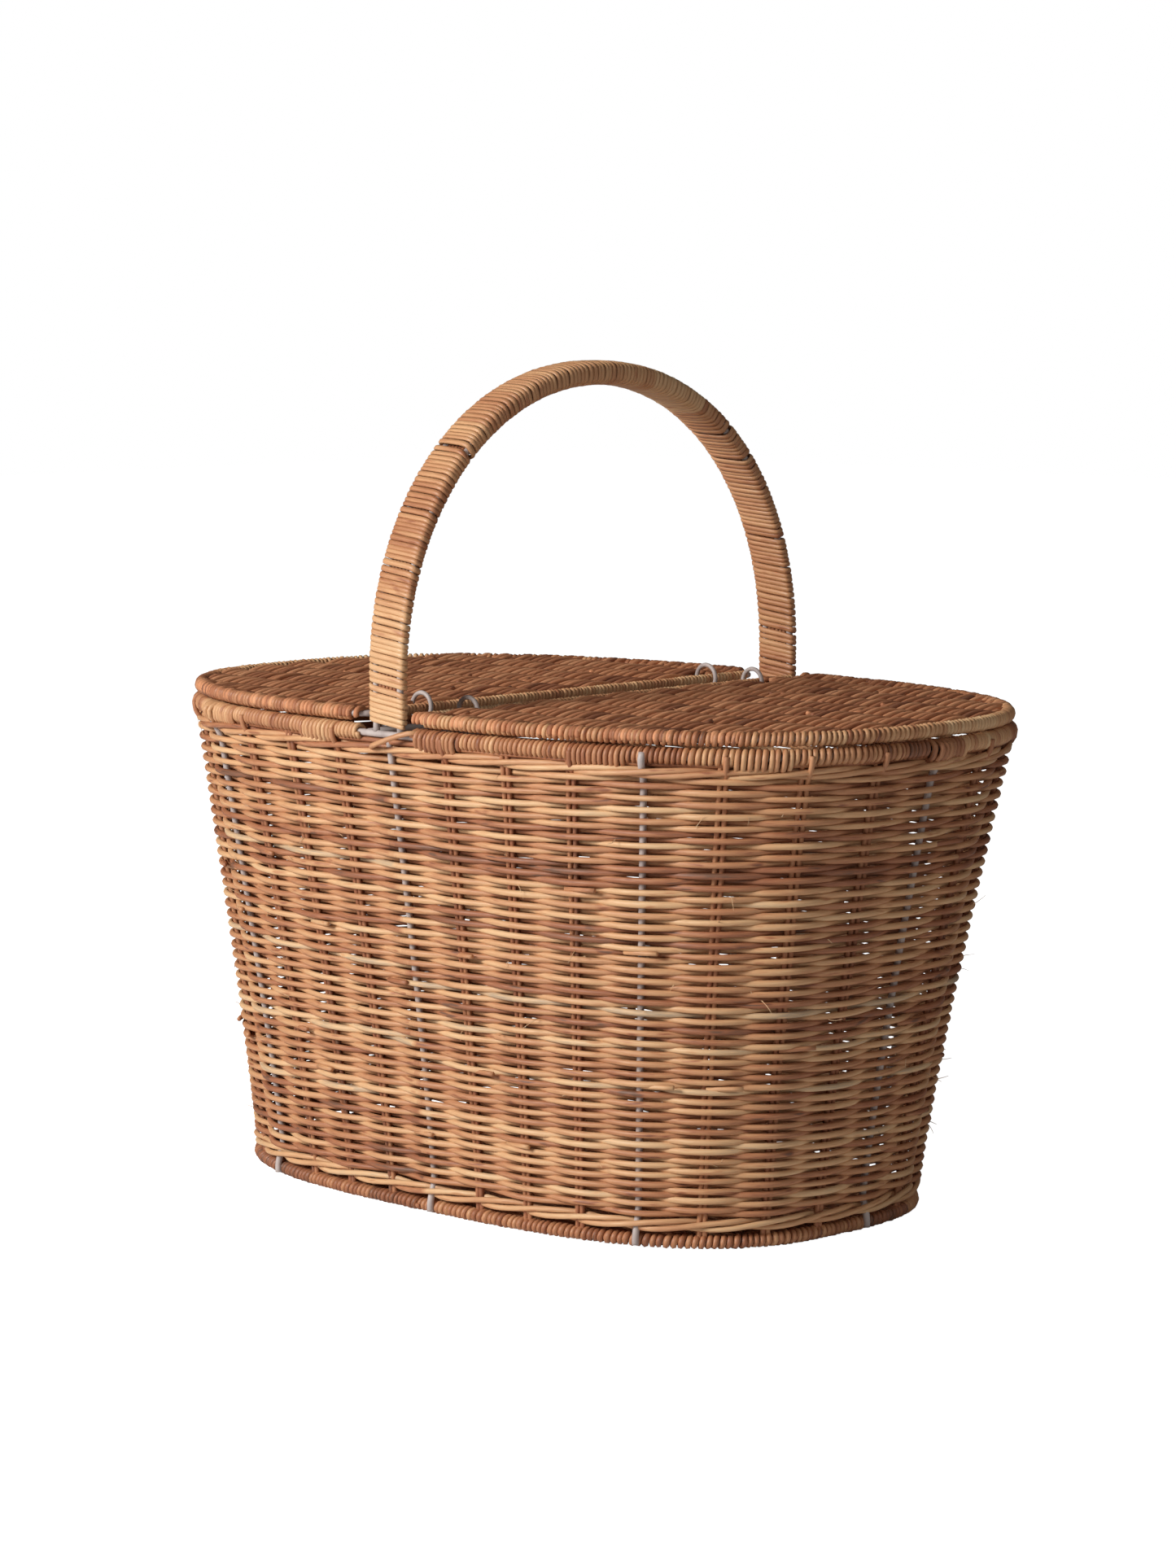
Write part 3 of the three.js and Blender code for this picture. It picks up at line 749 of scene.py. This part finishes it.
rows = [weaver(row) for row in range(WALL_ROWS)]
for band, part in zip(BANDS, np.array_split(np.arange(WALL_ROWS), len(BANDS))):
    chosen = [rows[row] for row in part]
    weave_piece(f"wall_weave_{band}", chosen, "wall_cane", ["wall_weave"], sides=8)

# %% [markdown]
# ## Waling
#
# At the foot and under the rim three weavers are twisted round the stakes like a rope, each passing
# in front of two stakes and behind one. It locks the rows between. Sine and cosine of the same turn
# swing a weaver in and out and up and down, and the three are a third of a turn apart.

# %% Waling at the foot and under the rim
WALE_TURNS = 11


def wale_strand(number, height, lift, rng, tone):
    stake = ALL_ROUND
    turn = TAU * (stake * WALE_TURNS / STAKES + number / 3)
    iron = near_stake(stake, IRON_EVERY)
    swing = np.tanh(1.8 * (np.cos(turn) + 0.3)) * (CANE_SWING + 0.5 * MM * iron)
    swing = swing + pushed_out(stake, height)
    rise = height + lift * np.sin(turn) + slow_wave(stake, rng, 0.25 * MM, (4, 7, 11))
    tones = pieced_tones(stake, number, rng, tone, 0.08)
    return strand(wall(stake, rise, swing), 1.42 * MM, tones, closed=True)


def packing_strand(height, out):
    """A cane that runs straight round, pushed in to close the last gap under the rim."""
    return strand(wall(ALL_ROUND, height, out), 1.5 * MM, 0.75, closed=True)


def waling(name, height, lift, tone, seed, packing=()):
    rng = np.random.default_rng(seed)
    canes = [wale_strand(number, height, lift, rng, tone) for number in range(3)]
    canes += [packing_strand(*one) for one in packing]
    weave_piece(name, canes, "wall_cane", ["wall_weave"], sides=8)


waling("foot_waling", 12.2 * MM, 2.0 * MM, 0.4, 61)
waling("rim_waling", 235.4 * MM, 1.6 * MM, 0.5, 62, [(239.4 * MM, 0), (237.4 * MM, -2 * MM)])

# %% [markdown]
# ## Winding
#
# The rods that a hand meets are covered by thin cane, wound on turn against turn. A winding is a
# helix round a line: the line gives a place and its direction at any distance, and each turn adds a
# circle across it. The turns are not quite the same width, and the cane changes every dozen turns.

# %% A line, and cane wound round it
class Line:
    """A bent line that is asked for places and directions at distances along it."""

    def __init__(self, points, first=None):
        self.points = np.asarray(points, float)
        self.marks = marks_along(self.points)
        self.length = self.marks[-1]
        self.first = first

    def at(self, where):
        return np.column_stack([np.interp(where, self.marks, axis) for axis in self.points.T])

    def directions(self, where):
        """Two directions across the line: outwards and up for a level ring."""
        step = 1.5 * MM
        ahead = self.at(np.minimum(where + step, self.length)) - self.at(np.maximum(where - step, 0))
        along = ahead / np.linalg.norm(ahead, axis=1, keepdims=True)
        first = np.cross(along, UP) if self.first is None else np.broadcast_to(self.first, along.shape)
        return first, np.cross(first, along)


def batches(count, rng, tones, variety=0.1, jitter=0.05, shortest=6, longest=22):
    """A tone for each turn: one cane covers several turns, and each turn differs a little.

    tones are spread evenly along the winding, and the batches follow them."""
    middles = np.interp(np.linspace(0, 1, count + 1), np.linspace(0, 1, len(tones)), tones)
    start = 0
    while start <= count:
        end = start + int(rng.integers(shortest, longest))
        middles[start:end] += rng.normal(0, variety)
        start = end
    return np.clip(middles + rng.normal(0, jitter, count + 1), 0.12, 0.86)


def wind(line, start, end, pitch, reach, seed, tones, steps=12, flatness=1.0, wide=0.18, gaps=0,
         fill=0.5, slant=0.0):
    """Winds cane round a line. reach(share, angle) gives the cane's middle across the line."""
    rng = np.random.default_rng(seed)
    count = max(2, int(round((end - start) / pitch)))
    widths = 1 + wide * rng.uniform(-1, 1, count)
    widths[rng.integers(0, count, gaps)] *= 1.5
    edges = start + np.concatenate([[0], np.cumsum(widths)]) * (end - start) / widths.sum()
    turn = np.arange(count * steps + 1) / steps
    where = np.interp(turn, np.arange(count + 1), edges)
    share = where / line.length
    across, outward = reach(share, TAU * turn)
    where = where - slant * np.cos(math.pi * share) * across
    first, second = line.directions(where)
    points = line.at(where) + first * across[:, None] + second * outward[:, None]
    radius = fill * pitch * np.interp(turn, np.arange(count) + 0.5, np.clip(widths, 0.85, 1.12))
    tone = np.interp(turn, np.arange(count + 1), batches(count, rng, tones))
    facing = None
    if flatness < 1:
        lean = reach(share, TAU * turn + 0.02)
        tangent = np.column_stack([lean[0] - across, lean[1] - outward])
        tangent /= np.linalg.norm(tangent, axis=1, keepdims=True)
        facing = first * tangent[:, 1:] - second * tangent[:, :1]
    return strand(points, radius, tone, facing=facing, flatness=flatness)


def even_reach(wide, high):
    """A reach for turns of one size all along a line."""
    return lambda share, angle: (wide * np.cos(angle), high * np.sin(angle))


print("winding tools ready")

# %% [markdown]
# ### Rim and base
#
# The rim's winding is broken at the handle's feet, where the bare painted ring shows. In places the
# weaver took a run of turns down round the top row as well, to tie the wall to the rim: those turns
# hang lower. The base's winding must stay above the floor that the basket stands on, so its turns
# are flatter underneath.

# %% Rim and base windings
RIM_PITCH = 2.95 * MM
BASE_PITCH = 3.2 * MM
RIM_BARE = 19.5 * MM
RIM_CANE_REACH = 2.75 * MM
TIE_DROP = 3.3 * MM
SHOWN_TIP = 4


rim_line = Line(rim_points)
base_line = Line(base_points)


def tied(share, ties, run):
    """1 where a run of turns ties the wall to the rim, and 0 between."""
    return np.max([1 - smooth_step(np.abs(share - tie), run * 0.42, run * 0.5) for tie in ties], axis=0)


def over_uprights(share):
    """1 where the winding passes over an upright's tip, which only one of them shows."""
    stake = share * STAKES
    near = 1 - smooth_step(np.abs((stake + 2) % IRON_EVERY - 2), 0.05, 0.22)
    return near * (np.abs(stake - SHOWN_TIP) > 1)


def rim_reach(ties):
    def reach(share, angle):
        low, outer = np.clip(-np.sin(angle), 0, 1), np.clip(np.cos(angle), 0, 1)
        tie = tied(share, ties, 0.024)
        swell = (1.0 * MM * tie + 3.3 * MM * over_uprights(share)) * outer
        lift = 0.6 * MM * np.clip(np.sin(angle), 0, 1) - TIE_DROP * tie * low
        return RIM_CANE_REACH * np.cos(angle) + swell, RIM_CANE_REACH * np.sin(angle) + lift
    return reach


def ties_between(start, end, rng):
    places = np.linspace(start + 0.035, end - 0.03, 7)
    return places + rng.uniform(-0.012, 0.012, len(places))


RIM_TONES = {"right": (0.5, 0.62, 0.64, 0.7, 0.62), "left": (0.6, 0.6, 0.5, 0.42)}
for name, start in (("right", 0.0), ("left", 0.5)):
    bare = RIM_BARE / rim_line.length
    rng = np.random.default_rng(31 if start else 30)
    reach = rim_reach(ties_between(start, start + 0.5, rng))
    span = (start + bare) * rim_line.length, (start + 0.5 - bare) * rim_line.length
    turns = wind(rim_line, *span, RIM_PITCH, reach, seed=int(40 + start * 2),
                 tones=RIM_TONES[name], fill=0.48)
    weave_piece(f"rim_winding_{name}", [turns], "binding_cane", [f"rim_binding_{name}"])


turns = wind(base_line, 0, base_line.length - 1 * MM, BASE_PITCH, even_reach(2.75 * MM, 2.05 * MM),
             seed=44, tones=(0.72, 0.66, 0.7))
weave_piece("base_winding", [turns], "binding_cane", ["base_binding"])

# %% [markdown]
# ## Base weave
#
# The bottom is woven flat like the lids: weavers run the long way, over and under canes that cross
# it, and the two iron rods take the place of two of them. Rows near the ends are shorter, where the
# base rounds off.

# %% Base
BASE_RIB_SPACING = 30 * MM
BASE_ROWS = 70
BASE_SWING = 2.1 * MM


def oval_reach(offset, half_across, half_along, squareness):
    """How far an oval reaches to each side of its middle line, at an offset from the middle."""
    share = np.clip(1 - np.abs(offset / half_across) ** squareness, 0, 1)
    return half_along * share ** (1 / squareness)


def rim_half_width(x):
    return oval_reach(x, RIM_A, RIM_B, RIM_SQUARENESS)


def rim_half_length(y):
    return oval_reach(y, RIM_B, RIM_A, RIM_SQUARENESS)


def base_weaver(row):
    rng = np.random.default_rng(3000 + row)
    y = (row - (BASE_ROWS - 1) / 2) * 2 * (BASE_B - 4 * MM) / BASE_ROWS
    reach = oval_reach(y, BASE_B, BASE_A, BASE_SQUARENESS) - 3 * MM
    x = np.linspace(-reach, reach, max(8, int(2 * reach / (5 * MM))))
    swing = BASE_SWING * np.tanh(1.3 * np.cos(math.pi * (x / BASE_RIB_SPACING + row)))
    sideways = y + 0.25 * MM * np.sin(x * 37 + row)
    points = np.column_stack([x + BASE_MIDDLE[0], sideways + BASE_MIDDLE[1], BASE_Z + 0.15 * MM + swing])
    tone = rng.uniform(0.3, 0.7) + np.where(x > rng.uniform(-reach, reach), rng.normal(0, 0.12), 0)
    return strand(points, rng.uniform(1.3, 1.45) * MM, tone)


def base_rib(number):
    x = number * BASE_RIB_SPACING
    reach = oval_reach(x, BASE_A, BASE_B, BASE_SQUARENESS) - 3 * MM
    y = np.linspace(-reach, reach, 10)
    level = np.full(10, BASE_Z)
    points = np.column_stack([np.full(10, x) + BASE_MIDDLE[0], y + BASE_MIDDLE[1], level])
    return strand(points, 1.2 * MM, 0.5)


ribs = [base_rib(number) for number in range(-6, 7) if abs(number) != 2]
weavers = [base_weaver(row) for row in range(BASE_ROWS)]
weave_piece("base_weave_canes", ribs + weavers, "base_cane", ["base_weave"])

# %% [markdown]
# ## Handle
#
# Two rods side by side rise from the rim and meet in one arch, and flat cane is wound round both of
# them, with straight canes packed between. The section is a flat oblong that thickens toward the top.
# Split cane lies flat on it and a little aslant, so each turn is pressed toward the handle. Here and
# there two turns part and leave a dark gap. The last of the cane is drawn across the foot, over the
# bare ring, and tucked under the wall's top row.

# %% Handle
HANDLE_ROD_X = 8.5 * MM
HANDLE_STRAIGHT = 26.5 * MM
HANDLE_RISE = 147.75 * MM
HANDLE_SQUARENESS = 2.07
HANDLE_PITCH = 2.8 * MM
HANDLE_BOXINESS = 5.5
TOP_ROUNDING = 2.3
HANDLE_FOOT = 6.0 * MM
HANDLE_TOP = 13 * MM


def handle_points(foot_height):
    angle = np.linspace(0, math.pi, 241)
    power = 2 / HANDLE_SQUARENESS
    span = rim_half_width(HANDLE_ROD_X)
    y = -span * np.sign(np.cos(angle)) * np.abs(np.cos(angle)) ** power
    z = RIM_Z + HANDLE_STRAIGHT + HANDLE_RISE * np.sin(angle) ** power
    legs = np.linspace(foot_height, RIM_Z + HANDLE_STRAIGHT, 12)[:-1]
    y = np.concatenate([np.full(11, -span), y, np.full(11, span)])
    z = np.concatenate([legs, z, legs[::-1]])
    return np.column_stack([np.zeros(len(y)), y, z])


def boxy(angle, half_width, half_depth, boxiness):
    power = 2 / boxiness
    cosine, sine = np.cos(angle), np.sin(angle)
    across = half_width * np.sign(cosine) * np.abs(cosine) ** power
    return across, half_depth * np.sign(sine) * np.abs(sine) ** power


HANDLE_LOW, HANDLE_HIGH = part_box("handle_binding")
HANDLE_HALF_WIDTH = (HANDLE_HIGH.x - HANDLE_LOW.x) / 2
HANDLE_CANE = 1.0 * MM


def handle_reach(share, angle):
    top = np.sin(math.pi * share) ** 2
    depth = (HANDLE_FOOT + (HANDLE_TOP - HANDLE_FOOT) * top) / 2
    boxiness = HANDLE_BOXINESS - TOP_ROUNDING * top
    return boxy(angle, HANDLE_HALF_WIDTH - HANDLE_CANE, depth - HANDLE_CANE, boxiness)


for name, x in (("left", -HANDLE_ROD_X), ("right", HANDLE_ROD_X)):
    points = handle_points(RIM_Z + 1 * MM) + [x, 0, 0]
    rod_piece(f"handle_{name}_iron", [strand(points[::2], ROD_SKIN)], [f"handle_rod_{name}"])

handle_line = Line(handle_points(RIM_Z + 3.5 * MM), first=ACROSS)
# The tones darken from the near foot to the far one: the darker far leg is painted shade.
turns = wind(handle_line, 1.8 * MM, handle_line.length - 1.8 * MM, HANDLE_PITCH, handle_reach, seed=54,
             tones=(0.54, 0.6, 0.6, 0.72, 0.75), steps=24, flatness=0.55, wide=0.3, gaps=6, fill=0.53,
             slant=0.1)
core = [strand(handle_points(RIM_Z + 5 * MM)[::4] + [x * MM, 0, 0], 1.3 * MM, 0.95)
        for x in (-5.1, -2.6, 0, 2.6, 5.1)]
weave_piece("handle_winding", [turns, *core], "handle_cane", ["handle_binding"])


# %% Cane across the handle's feet
def foot_tie(side):
    """From under the top row on the left of a foot to the winding on its right, as seen outside."""
    x = np.array([-9.0, -5.0, 0.0, 6.0, 12.0, 18.0, 23.0]) * MM
    rise = np.array([-6.5, -5.4, -3.8, -1.6, 0.6, 2.2, 2.6]) * MM
    out = np.array([3.0, 6.6, 8.0, 7.4, 5.4, 4.2, 2.5]) * MM
    y = rim_half_width(x) + out
    return strand(np.column_stack([-side * x, side * y, RIM_Z + rise]), 1.35 * MM, 0.55)


weave_piece("handle_foot_ties", [foot_tie(side) for side in (-1, 1)], "binding_cane", [])

# %% [markdown]
# ## Lids
#
# Each lid is a bent rod with three iron ribs, and thin canes stand between the ribs. Weavers run
# beside the hinge bar from the front edge to the back, over one rib and under the next, as in the
# wall. Two short slots let the eyelets stand through the weave, so the weavers that meet them stop
# on either side. The two lids are the same, mirrored.

# %% Lid outline
LID_LOW, LID_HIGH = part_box("right_lid_frame")
LID_Z = (LID_LOW.z + LID_HIGH.z) / 2
LID_ROD = 1.6 * MM
HINGE_X = LID_LOW.x + LID_ROD
LID_CORNER = 9 * MM
LID_RIB_SPACING = 28 * MM
IRON_RIBS = (-3, 0, 3)
CANE_RIBS = (-4, -2, -1, 1, 2, 4)
FIRST_LID_ROW = 1.35
LID_WEAVER_PITCH = 2.95 * MM
LID_SWING = 2.5 * MM
HOOK_REACH = 2.5 * MM
BAR_REACH = 1.75 * MM
EYELET_Y = sum(corner.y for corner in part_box("eyelet_right_back")) / 2
SLOT_HALF = 3.4 * MM
SLOT_END = HINGE_X + 11.8 * MM


def lid_outline(side):
    """The lid's rod from the middle of its hinge bar, round the edge and back to it."""
    ring, _ = oval(*RIM_SHAPE)
    edge = ring[: SHARES // 2 + 1]
    edge = edge[edge[:, 0] >= HINGE_X + LID_CORNER]
    front = abs(edge[0, 1])
    bend = np.linspace(0, 1, 9)[:-1, None]
    corner = np.array([HINGE_X, -front])
    start = np.array([HINGE_X, -front + LID_CORNER])
    curve = (1 - bend) ** 2 * start + 2 * bend * (1 - bend) * corner + bend ** 2 * edge[0]
    back = curve[::-1] * [1, -1]
    bar = np.linspace(0, -front + LID_CORNER, 16)[:-1]
    bar = np.column_stack([np.full(len(bar), HINGE_X), bar])
    flat = np.concatenate([bar, curve, edge, back, bar[::-1] * [1, -1]])
    return np.column_stack([side * flat[:, 0], flat[:, 1], np.full(len(flat), LID_Z)])


print(f"lid rod at x {HINGE_X:.4f}, z {LID_Z:.4f} m")


# %% Lid pieces
def lid_rib(side, number, count, radius, tone=0.4):
    """A straight iron or cane rib from the hinge bar to the lid's edge."""
    y = number * LID_RIB_SPACING
    ends = [(side * x, y, LID_Z) for x in (HINGE_X, rim_half_length(y))]
    return strand(np.linspace(*ends, count), radius, tone)


def lid_rod(side):
    edge = strand(lid_outline(side)[:-1], LID_ROD, closed=True)
    return [edge, *(lid_rib(side, number, 14, 1.4 * MM) for number in IRON_RIBS)]


def hooked(rod_at, sign):
    """The end of a weaver, bent over the lid's edge rod and down outside it."""
    angle = np.linspace(0.15, 2.2, 5)
    y = sign * (rod_at + HOOK_REACH * np.sin(angle))
    return np.column_stack([y, LID_Z + HOOK_REACH * np.cos(angle)])


def lid_weaver(side, row):
    """One weaver from the front edge to the back, in lengths that stop at the eyelets' slots."""
    rng = np.random.default_rng(5000 + row + (500 if side < 0 else 0))
    x = HINGE_X + (row + FIRST_LID_ROW) * LID_WEAVER_PITCH
    rod_at = rim_half_width(x)
    reach = rod_at - 1.5 * MM
    stops = [-reach, reach]
    if x < SLOT_END:
        stops = [-reach, -EYELET_Y - SLOT_HALF, -EYELET_Y + SLOT_HALF,
                 EYELET_Y - SLOT_HALF, EYELET_Y + SLOT_HALF, reach]
    hooks = {sign: x < 0.85 * RIM_A and rng.random() < 0.55 for sign in (-1, 1)}
    sag = rng.normal(0, 0.25 * MM)
    radius = rng.uniform(1.4, 1.54) * MM
    wander, turn = rng.uniform(0.1, 0.35) * MM, rng.uniform(0, TAU)
    tone = np.clip(rng.normal(0.36, 0.15), 0.0, 0.85)
    joint, change = rng.uniform(-reach, reach), rng.normal(0, 0.1)
    canes = []
    for start, end in zip(stops[::2], stops[1::2]):
        y = np.linspace(start, end, max(5, int((end - start) / (3.5 * MM))))
        inside = smooth_step(reach - np.abs(y), 0, 9 * MM)
        over = np.where(y < 0, hooks[-1], hooks[1]) * HOOK_REACH * (1 - inside)
        swing = np.cos(math.pi * (y / LID_RIB_SPACING + row)) * LID_SWING
        path = np.column_stack([y, LID_Z + (swing + sag) * inside + over])
        if start == -reach and hooks[-1]:
            path = np.concatenate([hooked(rod_at, -1)[::-1], path])
        if end == reach and hooks[1]:
            path = np.concatenate([path, hooked(rod_at, 1)])
        beside = side * (x + wander * np.sin(path[:, 0] * 90 + turn))
        tones = tone + np.where(path[:, 0] > joint, change, 0)
        canes.append(strand(np.column_stack([beside, path]), radius, tones))
    return canes


def lid_rows():
    last = RIM_A - 6 * MM
    return range(int((last - HINGE_X) / LID_WEAVER_PITCH - FIRST_LID_ROW) + 1)


def border_reach(share, angle):
    return 2.15 * MM * np.cos(angle), 2.25 * MM * np.sin(angle) - 0.3 * MM * (np.sin(angle) < 0)


def lid_windings(side, seed):
    """Cane round the edge and along the hinge bar, with the rod left bare at the two corners."""
    line = Line(lid_outline(side))
    corner = rim_half_width(HINGE_X + LID_CORNER) - LID_CORNER
    bend = 14 * MM
    edge_start, edge_end = corner + bend, line.length - corner - bend
    edge = wind(line, edge_start, edge_end, 3.0 * MM, border_reach, seed=seed,
                tones=(0.42, 0.68, 0.74, 0.4, 0.25, 0.6, 0.75, 0.75), fill=0.48)
    halves = ((0.3 * MM, corner + 1 * MM), (line.length - corner - 1 * MM, line.length - 0.3 * MM))
    bars = [wind(line, *half, 2.5 * MM, even_reach(BAR_REACH, BAR_REACH),
                 seed=seed + number, tones=(0.42, 0.42))
            for number, half in enumerate(halves, 1)]
    return [edge, *bars]


for name, side, seed in (("right", 1, 71), ("left", -1, 81)):
    body = f"{name}_lid"
    rod_piece(f"{body}_iron", lid_rod(side), [f"{body}_frame"], body)
    weave_piece(f"{body}_winding", lid_windings(side, seed), "binding_cane", [f"{body}_binding"], body)
    canes = [lid_rib(side, number, 20, 1.25 * MM, 0.55) for number in CANE_RIBS]
    for row in lid_rows():
        canes += lid_weaver(side, row)
    weave_piece(f"{body}_canes", canes, "lid_cane", [f"{body}_weave"], body)

# %% [markdown]
# ## Ends and fibres
#
# A weave of natural cane is never clean. Wherever a length ends, a cut stub is left standing by a
# stake, and the split canes shed fine fibres. They are few, but a wall without them looks moulded.
# A fibre starts on the weave and bends away from it. It rides with the piece that it grew from.

# %% Stray ends
STUB_ROW_HEIGHT = 2.64 * MM
FIBRE_RADIUS = 0.2 * MM


def fibre(start, direction, rng):
    length = rng.uniform(3, 8) * MM
    share = np.linspace(0, 1, 6)
    drift = rng.normal(0, 0.35, 3)
    path = start + np.outer(share, direction) * length + np.outer(share ** 2, drift) * length
    return strand(path, FIBRE_RADIUS * (1 - 0.5 * share), 0.15)


def wall_ends(stubs, fibres):
    rng = np.random.default_rng(91)
    ends = []
    for _ in range(stubs):
        row, stake = int(rng.integers(2, WALL_ROWS - 2)), rng.uniform(0, STAKES)
        height = FIRST_ROW + row * STUB_ROW_HEIGHT
        spread = stake + np.array([-0.3, -0.1, 0.05, 0.2])
        out = np.array([1.5, 3.0, 4.3, 5.6]) * MM
        ends.append(strand(wall(spread, height + out * 0.2, out), 1.25 * MM, rng.uniform(0.3, 0.8)))
    for _ in range(fibres):
        stake, height = rng.uniform(0, STAKES), rng.uniform(18, 236) * MM
        start, tip = wall([stake, stake], height, np.array([3.4 * MM, 4.4 * MM]))
        direction = (tip - start) / MM + rng.normal(0, 0.9, 3)
        direction /= np.linalg.norm(direction)
        ends.append(fibre(start, direction, rng))
    return ends


def lid_ends(side, stubs, fibres):
    rng = np.random.default_rng(95 + side)
    ends = []
    for number in range(stubs + fibres):
        x = rng.uniform(HINGE_X + 16 * MM, 0.86 * RIM_A)
        reach = rim_half_width(x)
        y = rng.uniform(-0.97, 0.97) * reach
        start = np.array([side * x, y, LID_Z + 1.2 * MM])
        lean = rng.choice([-1, 1])
        if number < stubs:
            path = start + np.outer([0, 0.5, 1], [0.6 * MM, lean * 6 * MM, 1.5 * MM])
            ends.append(strand(path, 1.1 * MM, rng.uniform(0.3, 0.9)))
        else:
            ends.append(fibre(start, [0.3, lean, 0.25], rng))
    return ends


weave_piece("wall_ends", wall_ends(46, 120), "wall_cane", [])
for name, side in (("right", 1), ("left", -1)):
    weave_piece(f"{name}_lid_ends", lid_ends(side, 22, 30), "lid_cane", [], f"{name}_lid")

# %% [markdown]
# ## Eyelets
#
# A lid turns on its own bar, which passes through two rings of wire welded on the crossbar. A full
# spin of a small circle makes each ring, with its seam merged shut.

# %% Eyelets
EYELET_WIRE = 1.15 * MM


def eyelet(name):
    low, high = (np.array(corner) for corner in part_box(name))
    middle = (low + high) / 2
    radius = (high[0] - low[0]) / 2 - EYELET_WIRE
    ring = bmesh.new()
    bmesh.ops.create_circle(ring, segments=12, radius=EYELET_WIRE)
    bmesh.ops.translate(ring, verts=ring.verts, vec=(radius, 0, 0))
    bmesh.ops.spin(ring, geom=ring.edges[:], cent=(0, 0, 0), axis=(0, 1, 0), angle=TAU, steps=40,
                   use_merge=True)
    bmesh.ops.translate(ring, verts=ring.verts, vec=tuple(middle))
    bmesh.ops.recalc_face_normals(ring, faces=ring.faces)
    mesh = bpy.data.meshes.new(f"{name}_wire")
    ring.to_mesh(mesh)
    ring.free()
    mesh.shade_smooth()
    settle(f"{name}_wire", mesh, "basket", "painted_iron", [name])


for side in ("left", "right"):
    for end in ("front", "back"):
        eyelet(f"eyelet_{side}_{end}")
print("eyelets:", sum(name.startswith("eyelet") for name in pieces))

# %% [markdown]
# ## What is measured at the end
# The end counts the pieces and their triangles.

# %% Sizes
print("pieces:", len(pieces), "triangles:", sum(pieces.values()))
